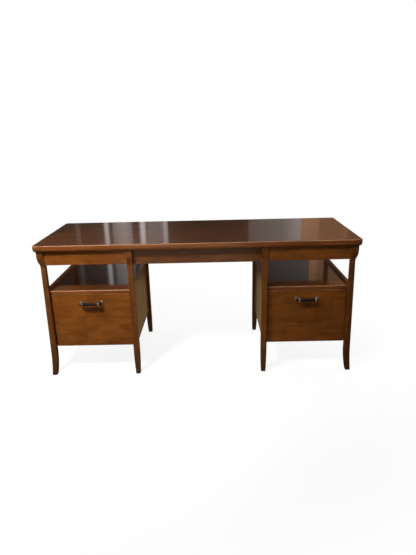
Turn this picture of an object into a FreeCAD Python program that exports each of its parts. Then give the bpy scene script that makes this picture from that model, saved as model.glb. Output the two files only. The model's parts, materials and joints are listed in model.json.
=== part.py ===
import FreeCAD, Part
import math
import os

# Desk with a sabre leg at each corner and on each side of the kneehole, two file pedestals under
# open shelves, and a locking pencil drawer. Millimetres. +X is the sitter's right, +Y the back,
# +Z up. The origin is on the floor under the middle of the top.
# Pieces come in left and right pairs, so the right one is drawn and the left one is its mirror.

Vector = FreeCAD.Vector

# Overall sizes
DESK_WIDTH = 1694.0
DESK_DEPTH = 604.0
DESK_HEIGHT = 750.0

# Top slab
TOP_THICKNESS = 36.0
TOP_OVERHANG = 14.0
TOP_CORNER_RADIUS = 18.0
TOP_UPPER_BEVEL = 3.0
TOP_LOWER_ROUND = 16.0

# Corner legs, measured outward from the plain faces that look into the pedestal
LEG_EAR = 36.0
LEG_SHAFT = 25.0
LEG_KNEE = 31.0
LEG_TOE = 38.0
LEG_HEEL = 12.0
LEG_KNEE_HEIGHT = 140.0
LEG_CORBEL_DROP = 86.0
LEG_CORBEL_ROUND = 105.0
LEG_CORBEL_COVE = 53.0
LEG_EDGE_EASE = 2.0

# Inner legs, whose kneehole face has no corbel
INNER_LEG_WIDTH = 30.0
INNER_LEG_KNEE = 31.5
INNER_LEG_TOE = 29.0
INNER_LEG_HEEL = 5.0
KNEEHOLE_WIDTH = 676.0

# Aprons and rails round the top of the legs
APRON_HEIGHT = 74.0
APRON_THICKNESS = 20.0
APRON_RECESS = 10.0
APRON_EDGE_EASE = 2.0
TENON_THICKNESS = 8.0
TENON_SHOULDER = 8.0
TENON_WEB = 6.0

# Pedestals
DRAWER_RECESS = 33.0
SHELF_HEIGHT = 490.0
SHELF_THICKNESS = 20.0
SHELF_NOSE = 6.0
SHELF_UNDER_EASE = 2.0
SHELF_SHOULDER = 8.0
GALLERY_RISE = 16.0
GALLERY_ROUND = 5.0
SIDE_PANEL_THICKNESS = 18.0
PANEL_TONGUE_THICKNESS = 8.0
PANEL_TONGUE_LENGTH = 6.0
HOUSING_DEPTH = 6.0
PEDESTAL_CLEARANCE = 165.0
PEDESTAL_BACK_THICKNESS = 16.0
PEDESTAL_BOTTOM_THICKNESS = 12.0

# Drawer making
DRAWER_FRONT_THICKNESS = 20.0
DRAWER_FRONT_EASE = 1.5
DRAWER_BOTTOM_THICKNESS = 6.0
BOTTOM_GROOVE_DEPTH = 5.0
BACK_HOUSING_DEPTH = 4.0
BACK_TOP_DROP = 4.0
TAIL_LENGTH = 12.0
TAIL_SLOPE = 6.0
RUNNING_CLEARANCE = 0.3

# File drawers
FILE_GAP = 2.0
FILE_SIDE_THICKNESS = 14.0
FILE_BACK_THICKNESS = 12.0
FILE_FRONT_DROP = 2.0
FILE_SIDE_BELOW_FRONT_TOP = 13.0
FILE_SIDE_ABOVE_BOTTOM = 3.0
FILE_BOTTOM_LIFT = 6.0
FILE_BACK_GAP = 7.0
FILE_TAILS = 5
FILE_RUNNER_HEIGHT = 18.0
FILE_RUNNER_DEPTH = 6.0
FILE_RUNNER_END_GAP = 2.0
FILE_GROOVE_STOP = 7.0
FILE_GROOVE_END_CLEARANCE = 1.5

# Pencil drawer
PENCIL_RECESS = 26.0
PENCIL_GAP = 2.5
PENCIL_DROP_BELOW_APRON = 7.0
PENCIL_SIDE_THICKNESS = 12.0
PENCIL_SIDE_TOP_GAP = 6.0
PENCIL_BACK_GAP = 50.0
PENCIL_BOTTOM_LIFT = 4.0
PENCIL_TAILS = 2
PENCIL_RUNNER_BASE = 12.0
PENCIL_RUNNER_LIP = 22.0
PENCIL_RUNNER_SHELF = 3.0
PENCIL_RUNNER_FRONT_GAP = 3.0
PENCIL_GUIDE_CLEARANCE = 0.5

# Lock on the pencil drawer
LOCK_CASE_WIDTH = 44.0
LOCK_CASE_LIFT = 1.0
LOCK_CASE_THICKNESS = 10.0
LOCK_CASE_PROUD = 2.0
LOCK_BARREL_RADIUS = 6.5
LOCK_PLUG_RADIUS = 4.5
LOCK_PLUG_CLEARANCE = 0.05
LOCK_PLUG_INSET = 1.0
LOCK_RIM_RADIUS = 8.5
LOCK_RIM_THICKNESS = 2.0
KEY_SLOT_LENGTH = 5.0
KEY_SLOT_WIDTH = 1.4
KEY_SLOT_DEPTH = 4.0
BOLT_WIDTH = 16.0
BOLT_THICKNESS = 5.0
BOLT_LENGTH = 20.0
BOLT_THROW = 7.85
BOLT_CLEARANCE = 0.3
BOLT_MORTISE_ROOM = 1.5

# Bar pull on each file drawer
PULL_DROP = 50.0
PULL_STANDOFF = 26.0
PULL_CENTRES = 111.0
PULL_ROD_RADIUS = 4.0
PULL_BEND_RADIUS = 8.0
PULL_BEND_STEPS = 2
PULL_STUD = 12.0
GRIP_LENGTH = 80.0
GRIP_RADIUS = 8.5
COLLAR_RADIUS = 13.0
COLLAR_WIDTH = 7.0
ROSETTE_RADIUS = 11.0
ROSETTE_THICKNESS = 4.0
SLEEVE_CLEARANCE = 0.1

# Glue blocks under the top
BLOCK_SIZE = 26.0
BLOCK_LENGTH = 70.0
BLOCK_END_GAP = 60.0

# Heights and planes that several pieces share
top_underside = DESK_HEIGHT - TOP_THICKNESS
apron_bottom = top_underside - APRON_HEIGHT
apron_middle = top_underside - APRON_HEIGHT / 2.0
shaft_top = top_underside - LEG_CORBEL_DROP
leg_face_x = DESK_WIDTH / 2.0 - TOP_OVERHANG - LEG_EAR
leg_face_y = DESK_DEPTH / 2.0 - TOP_OVERHANG - LEG_EAR
ear_face_x = leg_face_x + LEG_EAR
ear_face_y = leg_face_y + LEG_EAR
kneehole_x = KNEEHOLE_WIDTH / 2.0
inner_face_x = kneehole_x + INNER_LEG_WIDTH
pedestal_middle_x = (inner_face_x + leg_face_x) / 2.0
tenon_length = (INNER_LEG_WIDTH - TENON_WEB) / 2.0
apron_face_y = ear_face_y - APRON_RECESS
apron_back_y = apron_face_y - APRON_THICKNESS
drawer_face_y = ear_face_y - DRAWER_RECESS
file_front_back_y = drawer_face_y - DRAWER_FRONT_THICKNESS
shelf_underside = SHELF_HEIGHT - SHELF_THICKNESS
gallery_top = SHELF_HEIGHT + GALLERY_RISE
pedestal_floor = PEDESTAL_CLEARANCE + PEDESTAL_BOTTOM_THICKNESS
pedestal_back_y = drawer_face_y - PEDESTAL_BACK_THICKNESS

# Planes of the file drawers
file_front_top = shelf_underside - FILE_GAP
file_side_top = file_front_top - FILE_SIDE_BELOW_FRONT_TOP
file_side_bottom = pedestal_floor + FILE_SIDE_ABOVE_BOTTOM
file_bottom_z = file_side_bottom + FILE_BOTTOM_LIFT
file_box_back_y = pedestal_back_y - FILE_BACK_GAP
file_runner_middle = (file_side_bottom + file_side_top) / 2.0
pull_z = file_front_top - PULL_DROP
pull_bar_y = -drawer_face_y - PULL_STANDOFF
pull_centres_x = (pedestal_middle_x - PULL_CENTRES / 2.0, pedestal_middle_x + PULL_CENTRES / 2.0)

# Planes of the pencil drawer and its lock
pencil_face_y = ear_face_y - PENCIL_RECESS
pencil_front_back_y = pencil_face_y - DRAWER_FRONT_THICKNESS
pencil_box_back_y = apron_back_y - PENCIL_BACK_GAP
pencil_front_top = top_underside - PENCIL_GAP
pencil_front_bottom = apron_bottom - PENCIL_DROP_BELOW_APRON
pencil_side_outside = kneehole_x - PENCIL_GAP
pencil_side_inside = pencil_side_outside - PENCIL_SIDE_THICKNESS
pencil_side_bottom = apron_bottom + PENCIL_RUNNER_BASE + RUNNING_CLEARANCE
pencil_side_top = top_underside - PENCIL_SIDE_TOP_GAP
cross_rail_x0 = kneehole_x + (INNER_LEG_WIDTH - APRON_THICKNESS) / 2.0
pencil_bottom_z = pencil_side_bottom + PENCIL_BOTTOM_LIFT
lock_z = (pencil_front_bottom + pencil_front_top) / 2.0
lock_case_bottom = pencil_bottom_z + DRAWER_BOTTOM_THICKNESS + LOCK_CASE_LIFT
bolt_top = pencil_front_top
bolt_front_y = -pencil_front_back_y + LOCK_CASE_PROUD - (LOCK_CASE_THICKNESS + BOLT_THICKNESS) / 2.0


def block(x0, x1, y0, y1, z0, z1):
    """A board between two corners."""
    return Part.makeBox(x1 - x0, y1 - y0, z1 - z0, Vector(x0, y0, z0))


def rounded_rectangle(x0, x1, y0, y1, z, radius):
    """A level closed outline with four round corners."""
    arcs = []
    for quarter, (x, y) in enumerate([(x1, y1), (x0, y1), (x0, y0), (x1, y0)]):
        start = 90.0 * quarter
        across = -1.0 if x == x1 else 1.0
        along = -1.0 if y == y1 else 1.0
        centre = Vector(x + across * radius, y + along * radius, z)
        arcs.append(Part.makeCircle(radius, centre, Vector(0, 0, 1), start, start + 90.0))
    edges = []
    for arc, following in zip(arcs, arcs[1:] + arcs[:1]):
        edges.append(arc)
        edges.append(Part.makeLine(arc.Vertexes[-1].Point, following.Vertexes[0].Point))
    return Part.Wire(edges)


def edges_where(shape, test):
    """The edges of a shape whose two ends, or whole round, pass a test on their points."""
    return [edge for edge in shape.Edges if all(test(vertex.Point) for vertex in edge.Vertexes)]


def near(value, target):
    """True where a coordinate lies on a plane."""
    return abs(value - target) < 1e-6


def sleeve(start, axis, length, outside, inside):
    """A round sleeve that slips over a rod."""
    body = Part.makeCylinder(outside, length, start, axis)
    return body.cut(Part.makeCylinder(inside, length, start, axis))


def left_of(shape):
    """The left-hand twin of a right-hand piece."""
    return shape.mirror(Vector(0, 0, 0), Vector(1, 0, 0))


def rear_of(shape):
    """The rear twin of a front piece."""
    return shape.mirror(Vector(0, 0, 0), Vector(0, 1, 0))


def make_top():
    """Slab with round plan corners, a bevelled upper arris, a round lower edge and the bolt's mortise."""
    half_x = DESK_WIDTH / 2.0
    half_y = DESK_DEPTH / 2.0
    outline = rounded_rectangle(-half_x, half_x, -half_y, half_y, top_underside, TOP_CORNER_RADIUS)
    slab = Part.Face(outline).extrude(Vector(0, 0, TOP_THICKNESS))
    slab = slab.makeChamfer(TOP_UPPER_BEVEL, edges_where(slab, lambda p: near(p.z, DESK_HEIGHT)))
    slab = slab.makeFillet(TOP_LOWER_ROUND, edges_where(slab, lambda p: near(p.z, top_underside)))
    room = BOLT_MORTISE_ROOM
    mortise = block(
        -BOLT_WIDTH / 2.0 - room, BOLT_WIDTH / 2.0 + room,
        bolt_front_y - room, bolt_front_y + BOLT_THICKNESS + room,
        top_underside, bolt_top + BOLT_THROW + room,
    )
    return slab.cut(mortise)


def tangent_arc(start, heading, end):
    """The arc that leaves a point in a given direction and ends at another point."""
    chord = end - start
    turn = heading.getAngle(chord)
    side = heading - chord * (heading.dot(chord) / chord.dot(chord))
    side.normalize()
    middle = start + chord * 0.5 + side * (chord.Length / 2.0 * math.tan(turn / 2.0))
    return Part.Arc(start, middle, end).toShape()


def corbel_edges():
    """A corbelled show face from the top down to the knee: straight, round, cove and tapered shaft."""
    taper = math.atan((LEG_KNEE - LEG_SHAFT) / (shaft_top - LEG_KNEE_HEIGHT))
    both = LEG_CORBEL_ROUND + LEG_CORBEL_COVE
    step = LEG_EAR - LEG_SHAFT + LEG_CORBEL_COVE * (1.0 - math.cos(taper))
    turn = math.acos(1.0 - step / both)
    cove_top = shaft_top + LEG_CORBEL_COVE * (math.sin(turn) + math.sin(taper))
    ear = Vector(LEG_EAR, 0, top_underside)
    spring = Vector(LEG_EAR, 0, cove_top + LEG_CORBEL_ROUND * math.sin(turn))
    meet = Vector(LEG_EAR - LEG_CORBEL_ROUND * (1.0 - math.cos(turn)), 0, cove_top)
    shaft = Vector(LEG_SHAFT, 0, shaft_top)
    return [
        Part.makeLine(ear, spring),
        tangent_arc(spring, Vector(0, 0, -1), meet),
        tangent_arc(meet, Vector(-math.sin(turn), 0, -math.cos(turn)), shaft),
        Part.makeLine(shaft, Vector(LEG_KNEE, 0, LEG_KNEE_HEIGHT)),
    ]


def sabre_face(show_edges, toe, heel):
    """Side view of a leg in the XZ plane: its plain face on X = 0, its show edges, and its sabre foot."""
    crown = show_edges[0].Vertexes[0].Point
    shaft, show_knee = [vertex.Point for vertex in show_edges[-1].Vertexes]
    plain_knee = Vector(0, 0, LEG_KNEE_HEIGHT)
    plain_top = Vector(0, 0, top_underside)
    toe_point = Vector(toe, 0, 0)
    heel_point = Vector(heel, 0, 0)
    edges = [Part.makeLine(plain_top, crown)] + show_edges + [
        tangent_arc(show_knee, (show_knee - shaft).normalize(), toe_point),
        Part.makeLine(toe_point, heel_point),
        tangent_arc(plain_knee, Vector(0, 0, -1), heel_point),
        Part.makeLine(plain_knee, plain_top),
    ]
    return Part.Face(Part.Wire(Part.__sortEdges__(edges)))


def cut_both_ways(side_view, front_view):
    """A leg sawn to one outline from the side and another from the front, its long edges eased."""
    thickness = DESK_DEPTH
    sawn_side = side_view.extrude(Vector(0, thickness, 0))
    sawn_side.translate(Vector(0, -thickness / 2.0, 0))
    sawn_front = front_view.rotated(Vector(0, 0, 0), Vector(0, 0, 1), -90.0)
    sawn_front = sawn_front.extrude(Vector(thickness, 0, 0))
    sawn_front.translate(Vector(-thickness / 2.0, 0, 0))
    leg = sawn_side.common(sawn_front)
    long_edges = [edge for edge in leg.Edges if not near(edge.Vertexes[0].Z, edge.Vertexes[-1].Z)]
    return leg.makeChamfer(LEG_EDGE_EASE, long_edges)


def make_corner_leg():
    """Front right corner leg, with the same corbel and sabre foot to the front and to the side."""
    view = sabre_face(corbel_edges(), LEG_TOE, LEG_HEEL)
    leg = cut_both_ways(view, view)
    leg.translate(Vector(leg_face_x, -leg_face_y, 0))
    return leg


def make_inner_leg():
    """Front right inner leg: the corbelled sabre outline to the front, a plain taper to the kneehole."""
    crown = Vector(INNER_LEG_WIDTH, 0, top_underside)
    knee = Vector(INNER_LEG_KNEE, 0, LEG_KNEE_HEIGHT)
    kneehole_view = sabre_face([Part.makeLine(crown, knee)], INNER_LEG_TOE, INNER_LEG_HEEL)
    front_view = sabre_face(corbel_edges(), LEG_TOE, LEG_HEEL)
    leg = left_of(cut_both_ways(kneehole_view, front_view))
    leg.translate(Vector(inner_face_x, -leg_face_y, 0))
    return leg


def make_front_apron(x0, x1):
    """Apron along the front between two legs, with stub tenons in the upper half of the joint."""
    board = block(x0, x1, -apron_face_y, -apron_back_y, apron_bottom, top_underside)
    lower_front = edges_where(board, lambda p: near(p.y, -apron_face_y) and near(p.z, apron_bottom))
    board = board.makeChamfer(APRON_EDGE_EASE, lower_front)
    middle_y = -(apron_face_y + apron_back_y) / 2.0
    tenon = block(
        x0 - tenon_length, x1 + tenon_length,
        middle_y - TENON_THICKNESS / 2.0, middle_y + TENON_THICKNESS / 2.0,
        apron_middle + TENON_WEB / 2.0, top_underside - TENON_SHOULDER,
    )
    return board.fuse(tenon).removeSplitter()


def make_side_rail(x0, x1, eased_x):
    """Rail from a front leg to a rear leg, with stub tenons in the lower half of the joint."""
    rail = block(x0, x1, -leg_face_y, leg_face_y, apron_bottom, top_underside)
    lower_show = edges_where(rail, lambda p: near(p.x, eased_x) and near(p.z, apron_bottom))
    rail = rail.makeChamfer(APRON_EDGE_EASE, lower_show)
    middle_x = (x0 + x1) / 2.0
    tenon = block(
        middle_x - TENON_THICKNESS / 2.0, middle_x + TENON_THICKNESS / 2.0,
        -leg_face_y - tenon_length, leg_face_y + tenon_length,
        apron_bottom + TENON_SHOULDER, apron_middle - TENON_WEB / 2.0,
    )
    return rail.fuse(tenon).removeSplitter()


def make_shelf():
    """Right open shelf: a round nose at front and back, ends shouldered and housed in the pedestal sides."""
    board = block(inner_face_x, leg_face_x, -drawer_face_y, drawer_face_y, shelf_underside, SHELF_HEIGHT)
    noses = edges_where(board, lambda p: near(abs(p.y), drawer_face_y) and near(p.z, SHELF_HEIGHT))
    noses = [edge for edge in noses if near(edge.Vertexes[0].Y, edge.Vertexes[1].Y)]
    board = board.makeFillet(SHELF_NOSE, noses)
    unders = edges_where(board, lambda p: near(abs(p.y), drawer_face_y) and near(p.z, shelf_underside))
    unders = [edge for edge in unders if near(edge.Vertexes[0].Y, edge.Vertexes[1].Y)]
    board = board.makeChamfer(SHELF_UNDER_EASE, unders)
    housed_y = min(leg_face_y, drawer_face_y - SHELF_NOSE)
    housed = block(
        inner_face_x - HOUSING_DEPTH, leg_face_x + HOUSING_DEPTH,
        -housed_y, housed_y, shelf_underside, SHELF_HEIGHT - SHELF_SHOULDER,
    )
    return board.fuse(housed).removeSplitter()


def make_pedestal_bottom():
    """Right pedestal bottom, housed in the sides, behind the drawer front."""
    return block(
        inner_face_x - HOUSING_DEPTH, leg_face_x + HOUSING_DEPTH,
        -file_front_back_y + FILE_RUNNER_END_GAP, pedestal_back_y,
        PEDESTAL_CLEARANCE, pedestal_floor,
    )


def make_pedestal_back():
    """Right pedestal back, a finished panel between the rear legs."""
    return block(
        inner_face_x, leg_face_x, pedestal_back_y, drawer_face_y, PEDESTAL_CLEARANCE, shelf_underside,
    )


def make_side_panel(x0, x1, housed):
    """Pedestal side between two legs, with a round gallery edge, tongues and housings."""
    panel = block(x0, x1, -leg_face_y, leg_face_y, PEDESTAL_CLEARANCE, gallery_top)
    rims = edges_where(panel, lambda p: near(p.z, gallery_top))
    rims = [edge for edge in rims if near(edge.Vertexes[0].X, edge.Vertexes[1].X)]
    panel = panel.makeFillet(GALLERY_ROUND, rims)
    middle_x = (x0 + x1) / 2.0
    tongue = block(
        middle_x - PANEL_TONGUE_THICKNESS / 2.0, middle_x + PANEL_TONGUE_THICKNESS / 2.0,
        -leg_face_y - PANEL_TONGUE_LENGTH, leg_face_y + PANEL_TONGUE_LENGTH,
        PEDESTAL_CLEARANCE + PANEL_TONGUE_LENGTH, SHELF_HEIGHT,
    )
    return panel.fuse(tongue).removeSplitter().cut(housed)


def make_drawer_side(x0, x1, front_y, back_y, z0, z1, tails):
    """Drawer side with a row of dovetails at its front end, which faces -Y."""
    side = block(x0, x1, front_y, back_y, z0, z1)
    pitch = (z1 - z0) / tails
    root = pitch / 2.0
    flare = TAIL_LENGTH / TAIL_SLOPE
    for index in range(tails):
        middle = z0 + pitch * (index + 0.5)
        outline = [
            Vector(x0, front_y, middle - root / 2.0),
            Vector(x0, front_y, middle + root / 2.0),
            Vector(x0, front_y - TAIL_LENGTH, middle + root / 2.0 + flare),
            Vector(x0, front_y - TAIL_LENGTH, middle - root / 2.0 - flare),
        ]
        tail = Part.Face(Part.makePolygon(outline + outline[:1])).extrude(Vector(x1 - x0, 0, 0))
        side = side.fuse(tail)
    return side.removeSplitter()


def make_drawer_bottom(x0, x1, front_y, back_y, z0):
    """Drawer bottom that slides into grooves in the sides and the front, and passes under the back."""
    z1 = z0 + DRAWER_BOTTOM_THICKNESS
    plate = block(x0 - BOTTOM_GROOVE_DEPTH, x1 + BOTTOM_GROOVE_DEPTH, front_y, back_y, z0, z1)
    lip = block(x0, x1, front_y - BOTTOM_GROOVE_DEPTH, front_y, z0, z1)
    return plate.fuse(lip).removeSplitter()


def make_drawer_front(x0, x1, face_y, z0, z1):
    """Flat drawer front with an eased face."""
    front = block(x0, x1, face_y, face_y + DRAWER_FRONT_THICKNESS, z0, z1)
    return front.makeChamfer(DRAWER_FRONT_EASE, edges_where(front, lambda p: near(p.y, face_y)))


def make_file_runner(x0, x1):
    """Hardwood strip on a pedestal side that carries a grooved drawer side."""
    return block(
        x0, x1, -file_front_back_y + FILE_GROOVE_STOP + FILE_RUNNER_END_GAP,
        pedestal_back_y - FILE_RUNNER_END_GAP,
        file_runner_middle - FILE_RUNNER_HEIGHT / 2.0, file_runner_middle + FILE_RUNNER_HEIGHT / 2.0,
    )


def make_file_groove(x0, x1):
    """Cutter for the groove in a file drawer side, stopped behind the front."""
    reach = FILE_RUNNER_HEIGHT / 2.0 + RUNNING_CLEARANCE
    return block(
        x0, x1, -file_front_back_y + FILE_GROOVE_STOP, file_box_back_y,
        file_runner_middle - reach, file_runner_middle + reach,
    )


def make_file_drawer():
    """Right file drawer: box, front and pull, as a dictionary of pieces."""
    x0 = inner_face_x + FILE_GAP
    x1 = leg_face_x - FILE_GAP
    inside0 = x0 + FILE_SIDE_THICKNESS
    inside1 = x1 - FILE_SIDE_THICKNESS
    front_y = -file_front_back_y
    bottom = make_drawer_bottom(inside0, inside1, front_y, file_box_back_y, file_bottom_z)
    back = block(
        inside0 - BACK_HOUSING_DEPTH, inside1 + BACK_HOUSING_DEPTH,
        file_box_back_y - FILE_BACK_THICKNESS, file_box_back_y,
        file_bottom_z + DRAWER_BOTTOM_THICKNESS, file_side_top - BACK_TOP_DROP,
    )
    inner_side = make_drawer_side(
        x0, inside0, front_y, file_box_back_y, file_side_bottom, file_side_top, FILE_TAILS,
    )
    outer_side = make_drawer_side(
        inside1, x1, front_y, file_box_back_y, file_side_bottom, file_side_top, FILE_TAILS,
    )
    groove_depth = FILE_RUNNER_DEPTH - FILE_GAP + FILE_GROOVE_END_CLEARANCE
    inner_side = inner_side.cut([make_file_groove(x0, x0 + groove_depth), bottom, back])
    outer_side = outer_side.cut([make_file_groove(x1 - groove_depth, x1), bottom, back])
    front = make_drawer_front(x0, x1, -drawer_face_y, PEDESTAL_CLEARANCE - FILE_FRONT_DROP, file_front_top)
    sockets = []
    for x in pull_centres_x:
        foot = Vector(x, -drawer_face_y, pull_z)
        bore = PULL_ROD_RADIUS + SLEEVE_CLEARANCE
        sockets.append(Part.makeCylinder(bore, PULL_STUD, foot, Vector(0, 1, 0)))
    front = front.cut([inner_side, outer_side, bottom] + sockets)
    pieces = {
        "file_drawer_front": front,
        "file_drawer_inner_side": inner_side,
        "file_drawer_outer_side": outer_side,
        "file_drawer_back": back,
        "file_drawer_bottom": bottom,
    }
    pieces.update(make_pull())
    return pieces


def make_pull_rod():
    """Right pull rod: a bar along the drawer front, bent back at both ends into sockets in the front."""
    left_x, right_x = pull_centres_x
    bend = PULL_BEND_RADIUS
    root_y = -drawer_face_y + PULL_STUD
    left_bend = []
    for step in range(PULL_BEND_STEPS + 1):
        angle = math.radians(90.0 * step / PULL_BEND_STEPS)
        left_bend.append(Vector(
            left_x + bend * (1.0 - math.cos(angle)), pull_bar_y + bend * (1.0 - math.sin(angle)), pull_z,
        ))
    right_bend = [Vector(left_x + right_x - point.x, point.y, pull_z) for point in reversed(left_bend)]
    left_root = Vector(left_x, root_y, pull_z)
    right_root = Vector(right_x, root_y, pull_z)
    path = Part.makePolygon([left_root] + left_bend + right_bend + [right_root])
    section = Part.Wire(Part.makeCircle(PULL_ROD_RADIUS, left_root, Vector(0, 1, 0)))
    mitred = 1
    return path.makePipeShell([section], True, False, mitred)


def make_pull():
    """Right bar pull: bent rod, grip between two collars, and a rosette at each foot."""
    bore = PULL_ROD_RADIUS + SLEEVE_CLEARANCE
    along = Vector(1, 0, 0)
    grip_x = pedestal_middle_x - GRIP_LENGTH / 2.0
    collars = []
    for x in (grip_x - COLLAR_WIDTH, grip_x + GRIP_LENGTH):
        start = Vector(x, pull_bar_y, pull_z)
        collars.append(sleeve(start, along, COLLAR_WIDTH, COLLAR_RADIUS, bore))
    rosettes = []
    for x in pull_centres_x:
        foot = Vector(x, -drawer_face_y, pull_z)
        rosettes.append(sleeve(foot, Vector(0, -1, 0), ROSETTE_THICKNESS, ROSETTE_RADIUS, bore))
    return {
        "pull_rod": make_pull_rod(),
        "pull_grip": sleeve(Vector(grip_x, pull_bar_y, pull_z), along, GRIP_LENGTH, GRIP_RADIUS, bore),
        "pull_collars": Part.makeCompound(collars),
        "pull_rosettes": Part.makeCompound(rosettes),
    }


def make_pencil_runner():
    """Right runner of the pencil drawer: an L-shaped strip on the cross rail."""
    y0 = -pencil_front_back_y + PENCIL_RUNNER_FRONT_GAP
    base_top = apron_bottom + PENCIL_RUNNER_BASE
    base = block(
        pencil_side_inside - PENCIL_RUNNER_SHELF, cross_rail_x0, y0, leg_face_y, apron_bottom, base_top,
    )
    guide = block(
        pencil_side_outside + PENCIL_GUIDE_CLEARANCE, cross_rail_x0,
        y0, leg_face_y, base_top, base_top + PENCIL_RUNNER_LIP,
    )
    return base.fuse(guide).removeSplitter()


def make_lock():
    """Lock of the pencil drawer: case with its barrel and rim, plug with a key slot, and bolt."""
    face_y = -pencil_face_y
    case_back_y = -pencil_front_back_y + LOCK_CASE_PROUD
    case_front_y = case_back_y - LOCK_CASE_THICKNESS
    half = LOCK_CASE_WIDTH / 2.0
    case = block(-half, half, case_front_y, case_back_y, lock_case_bottom, pencil_front_top)
    inward = Vector(0, 1, 0)
    barrel = Part.makeCylinder(LOCK_BARREL_RADIUS, case_back_y - face_y, Vector(0, face_y, lock_z), inward)
    rim_start = Vector(0, face_y - LOCK_RIM_THICKNESS, lock_z)
    rim = Part.makeCylinder(LOCK_RIM_RADIUS, LOCK_RIM_THICKNESS, rim_start, inward)
    plug_end_y = case_front_y + LOCK_CASE_THICKNESS / 2.0
    bore_length = plug_end_y + LOCK_PLUG_CLEARANCE - rim_start.y
    bore = Part.makeCylinder(LOCK_PLUG_RADIUS + LOCK_PLUG_CLEARANCE, bore_length, rim_start, inward)
    gap = BOLT_CLEARANCE
    channel = block(
        -BOLT_WIDTH / 2.0 - gap, BOLT_WIDTH / 2.0 + gap,
        bolt_front_y - gap, bolt_front_y + BOLT_THICKNESS + gap,
        bolt_top - BOLT_LENGTH - gap, pencil_front_top,
    )
    case = case.fuse([barrel, rim]).removeSplitter().cut([bore, channel])
    plug_start = rim_start + inward * LOCK_PLUG_INSET
    plug = Part.makeCylinder(LOCK_PLUG_RADIUS, plug_end_y - plug_start.y, plug_start, inward)
    slot = block(
        -KEY_SLOT_WIDTH / 2.0, KEY_SLOT_WIDTH / 2.0, plug_start.y, plug_start.y + KEY_SLOT_DEPTH,
        lock_z - KEY_SLOT_LENGTH / 2.0, lock_z + KEY_SLOT_LENGTH / 2.0,
    )
    bolt = block(
        -BOLT_WIDTH / 2.0, BOLT_WIDTH / 2.0, bolt_front_y, bolt_front_y + BOLT_THICKNESS,
        bolt_top - BOLT_LENGTH, bolt_top,
    )
    return {"lock_case": case, "lock_plug": plug.cut(slot), "lock_bolt": bolt}


def make_pencil_drawer():
    """Pencil drawer with its lock, as a dictionary of pieces."""
    front_y = -pencil_front_back_y
    inside = pencil_side_inside
    bottom = make_drawer_bottom(-inside, inside, front_y, pencil_box_back_y, pencil_bottom_z)
    back = block(
        -inside - BACK_HOUSING_DEPTH, inside + BACK_HOUSING_DEPTH,
        pencil_box_back_y - PENCIL_SIDE_THICKNESS, pencil_box_back_y,
        pencil_bottom_z + DRAWER_BOTTOM_THICKNESS, pencil_side_top - BACK_TOP_DROP,
    )
    right_side = make_drawer_side(
        inside, pencil_side_outside, front_y, pencil_box_back_y,
        pencil_side_bottom, pencil_side_top, PENCIL_TAILS,
    ).cut([bottom, back])
    left_side = left_of(right_side)
    front = make_drawer_front(
        -pencil_side_outside, pencil_side_outside, -pencil_face_y, pencil_front_bottom, pencil_front_top,
    )
    lock = make_lock()
    mortise = block(
        -LOCK_CASE_WIDTH / 2.0, LOCK_CASE_WIDTH / 2.0,
        front_y + LOCK_CASE_PROUD - LOCK_CASE_THICKNESS, front_y,
        lock_case_bottom, pencil_front_top,
    )
    barrel_hole = Part.makeCylinder(
        LOCK_BARREL_RADIUS + SLEEVE_CLEARANCE, DRAWER_FRONT_THICKNESS,
        Vector(0, -pencil_face_y, lock_z), Vector(0, 1, 0),
    )
    front = front.cut([right_side, left_side, bottom, mortise, barrel_hole])
    pieces = {
        "pencil_drawer_front": front,
        "pencil_drawer_left_side": left_side,
        "pencil_drawer_right_side": right_side,
        "pencil_drawer_back": back,
        "pencil_drawer_bottom": bottom,
    }
    pieces.update(lock)
    return pieces


def make_glue_blocks():
    """Blocks in the corner between each apron over a pedestal and the top."""
    blocks = []
    ends = (inner_face_x + BLOCK_END_GAP, leg_face_x - BLOCK_END_GAP - BLOCK_LENGTH)
    for x in ends:
        front = block(
            x, x + BLOCK_LENGTH, -apron_back_y, -apron_back_y + BLOCK_SIZE,
            top_underside - BLOCK_SIZE, top_underside,
        )
        blocks.extend([front, rear_of(front), left_of(front), left_of(rear_of(front))])
    return Part.makeCompound(blocks)


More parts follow.
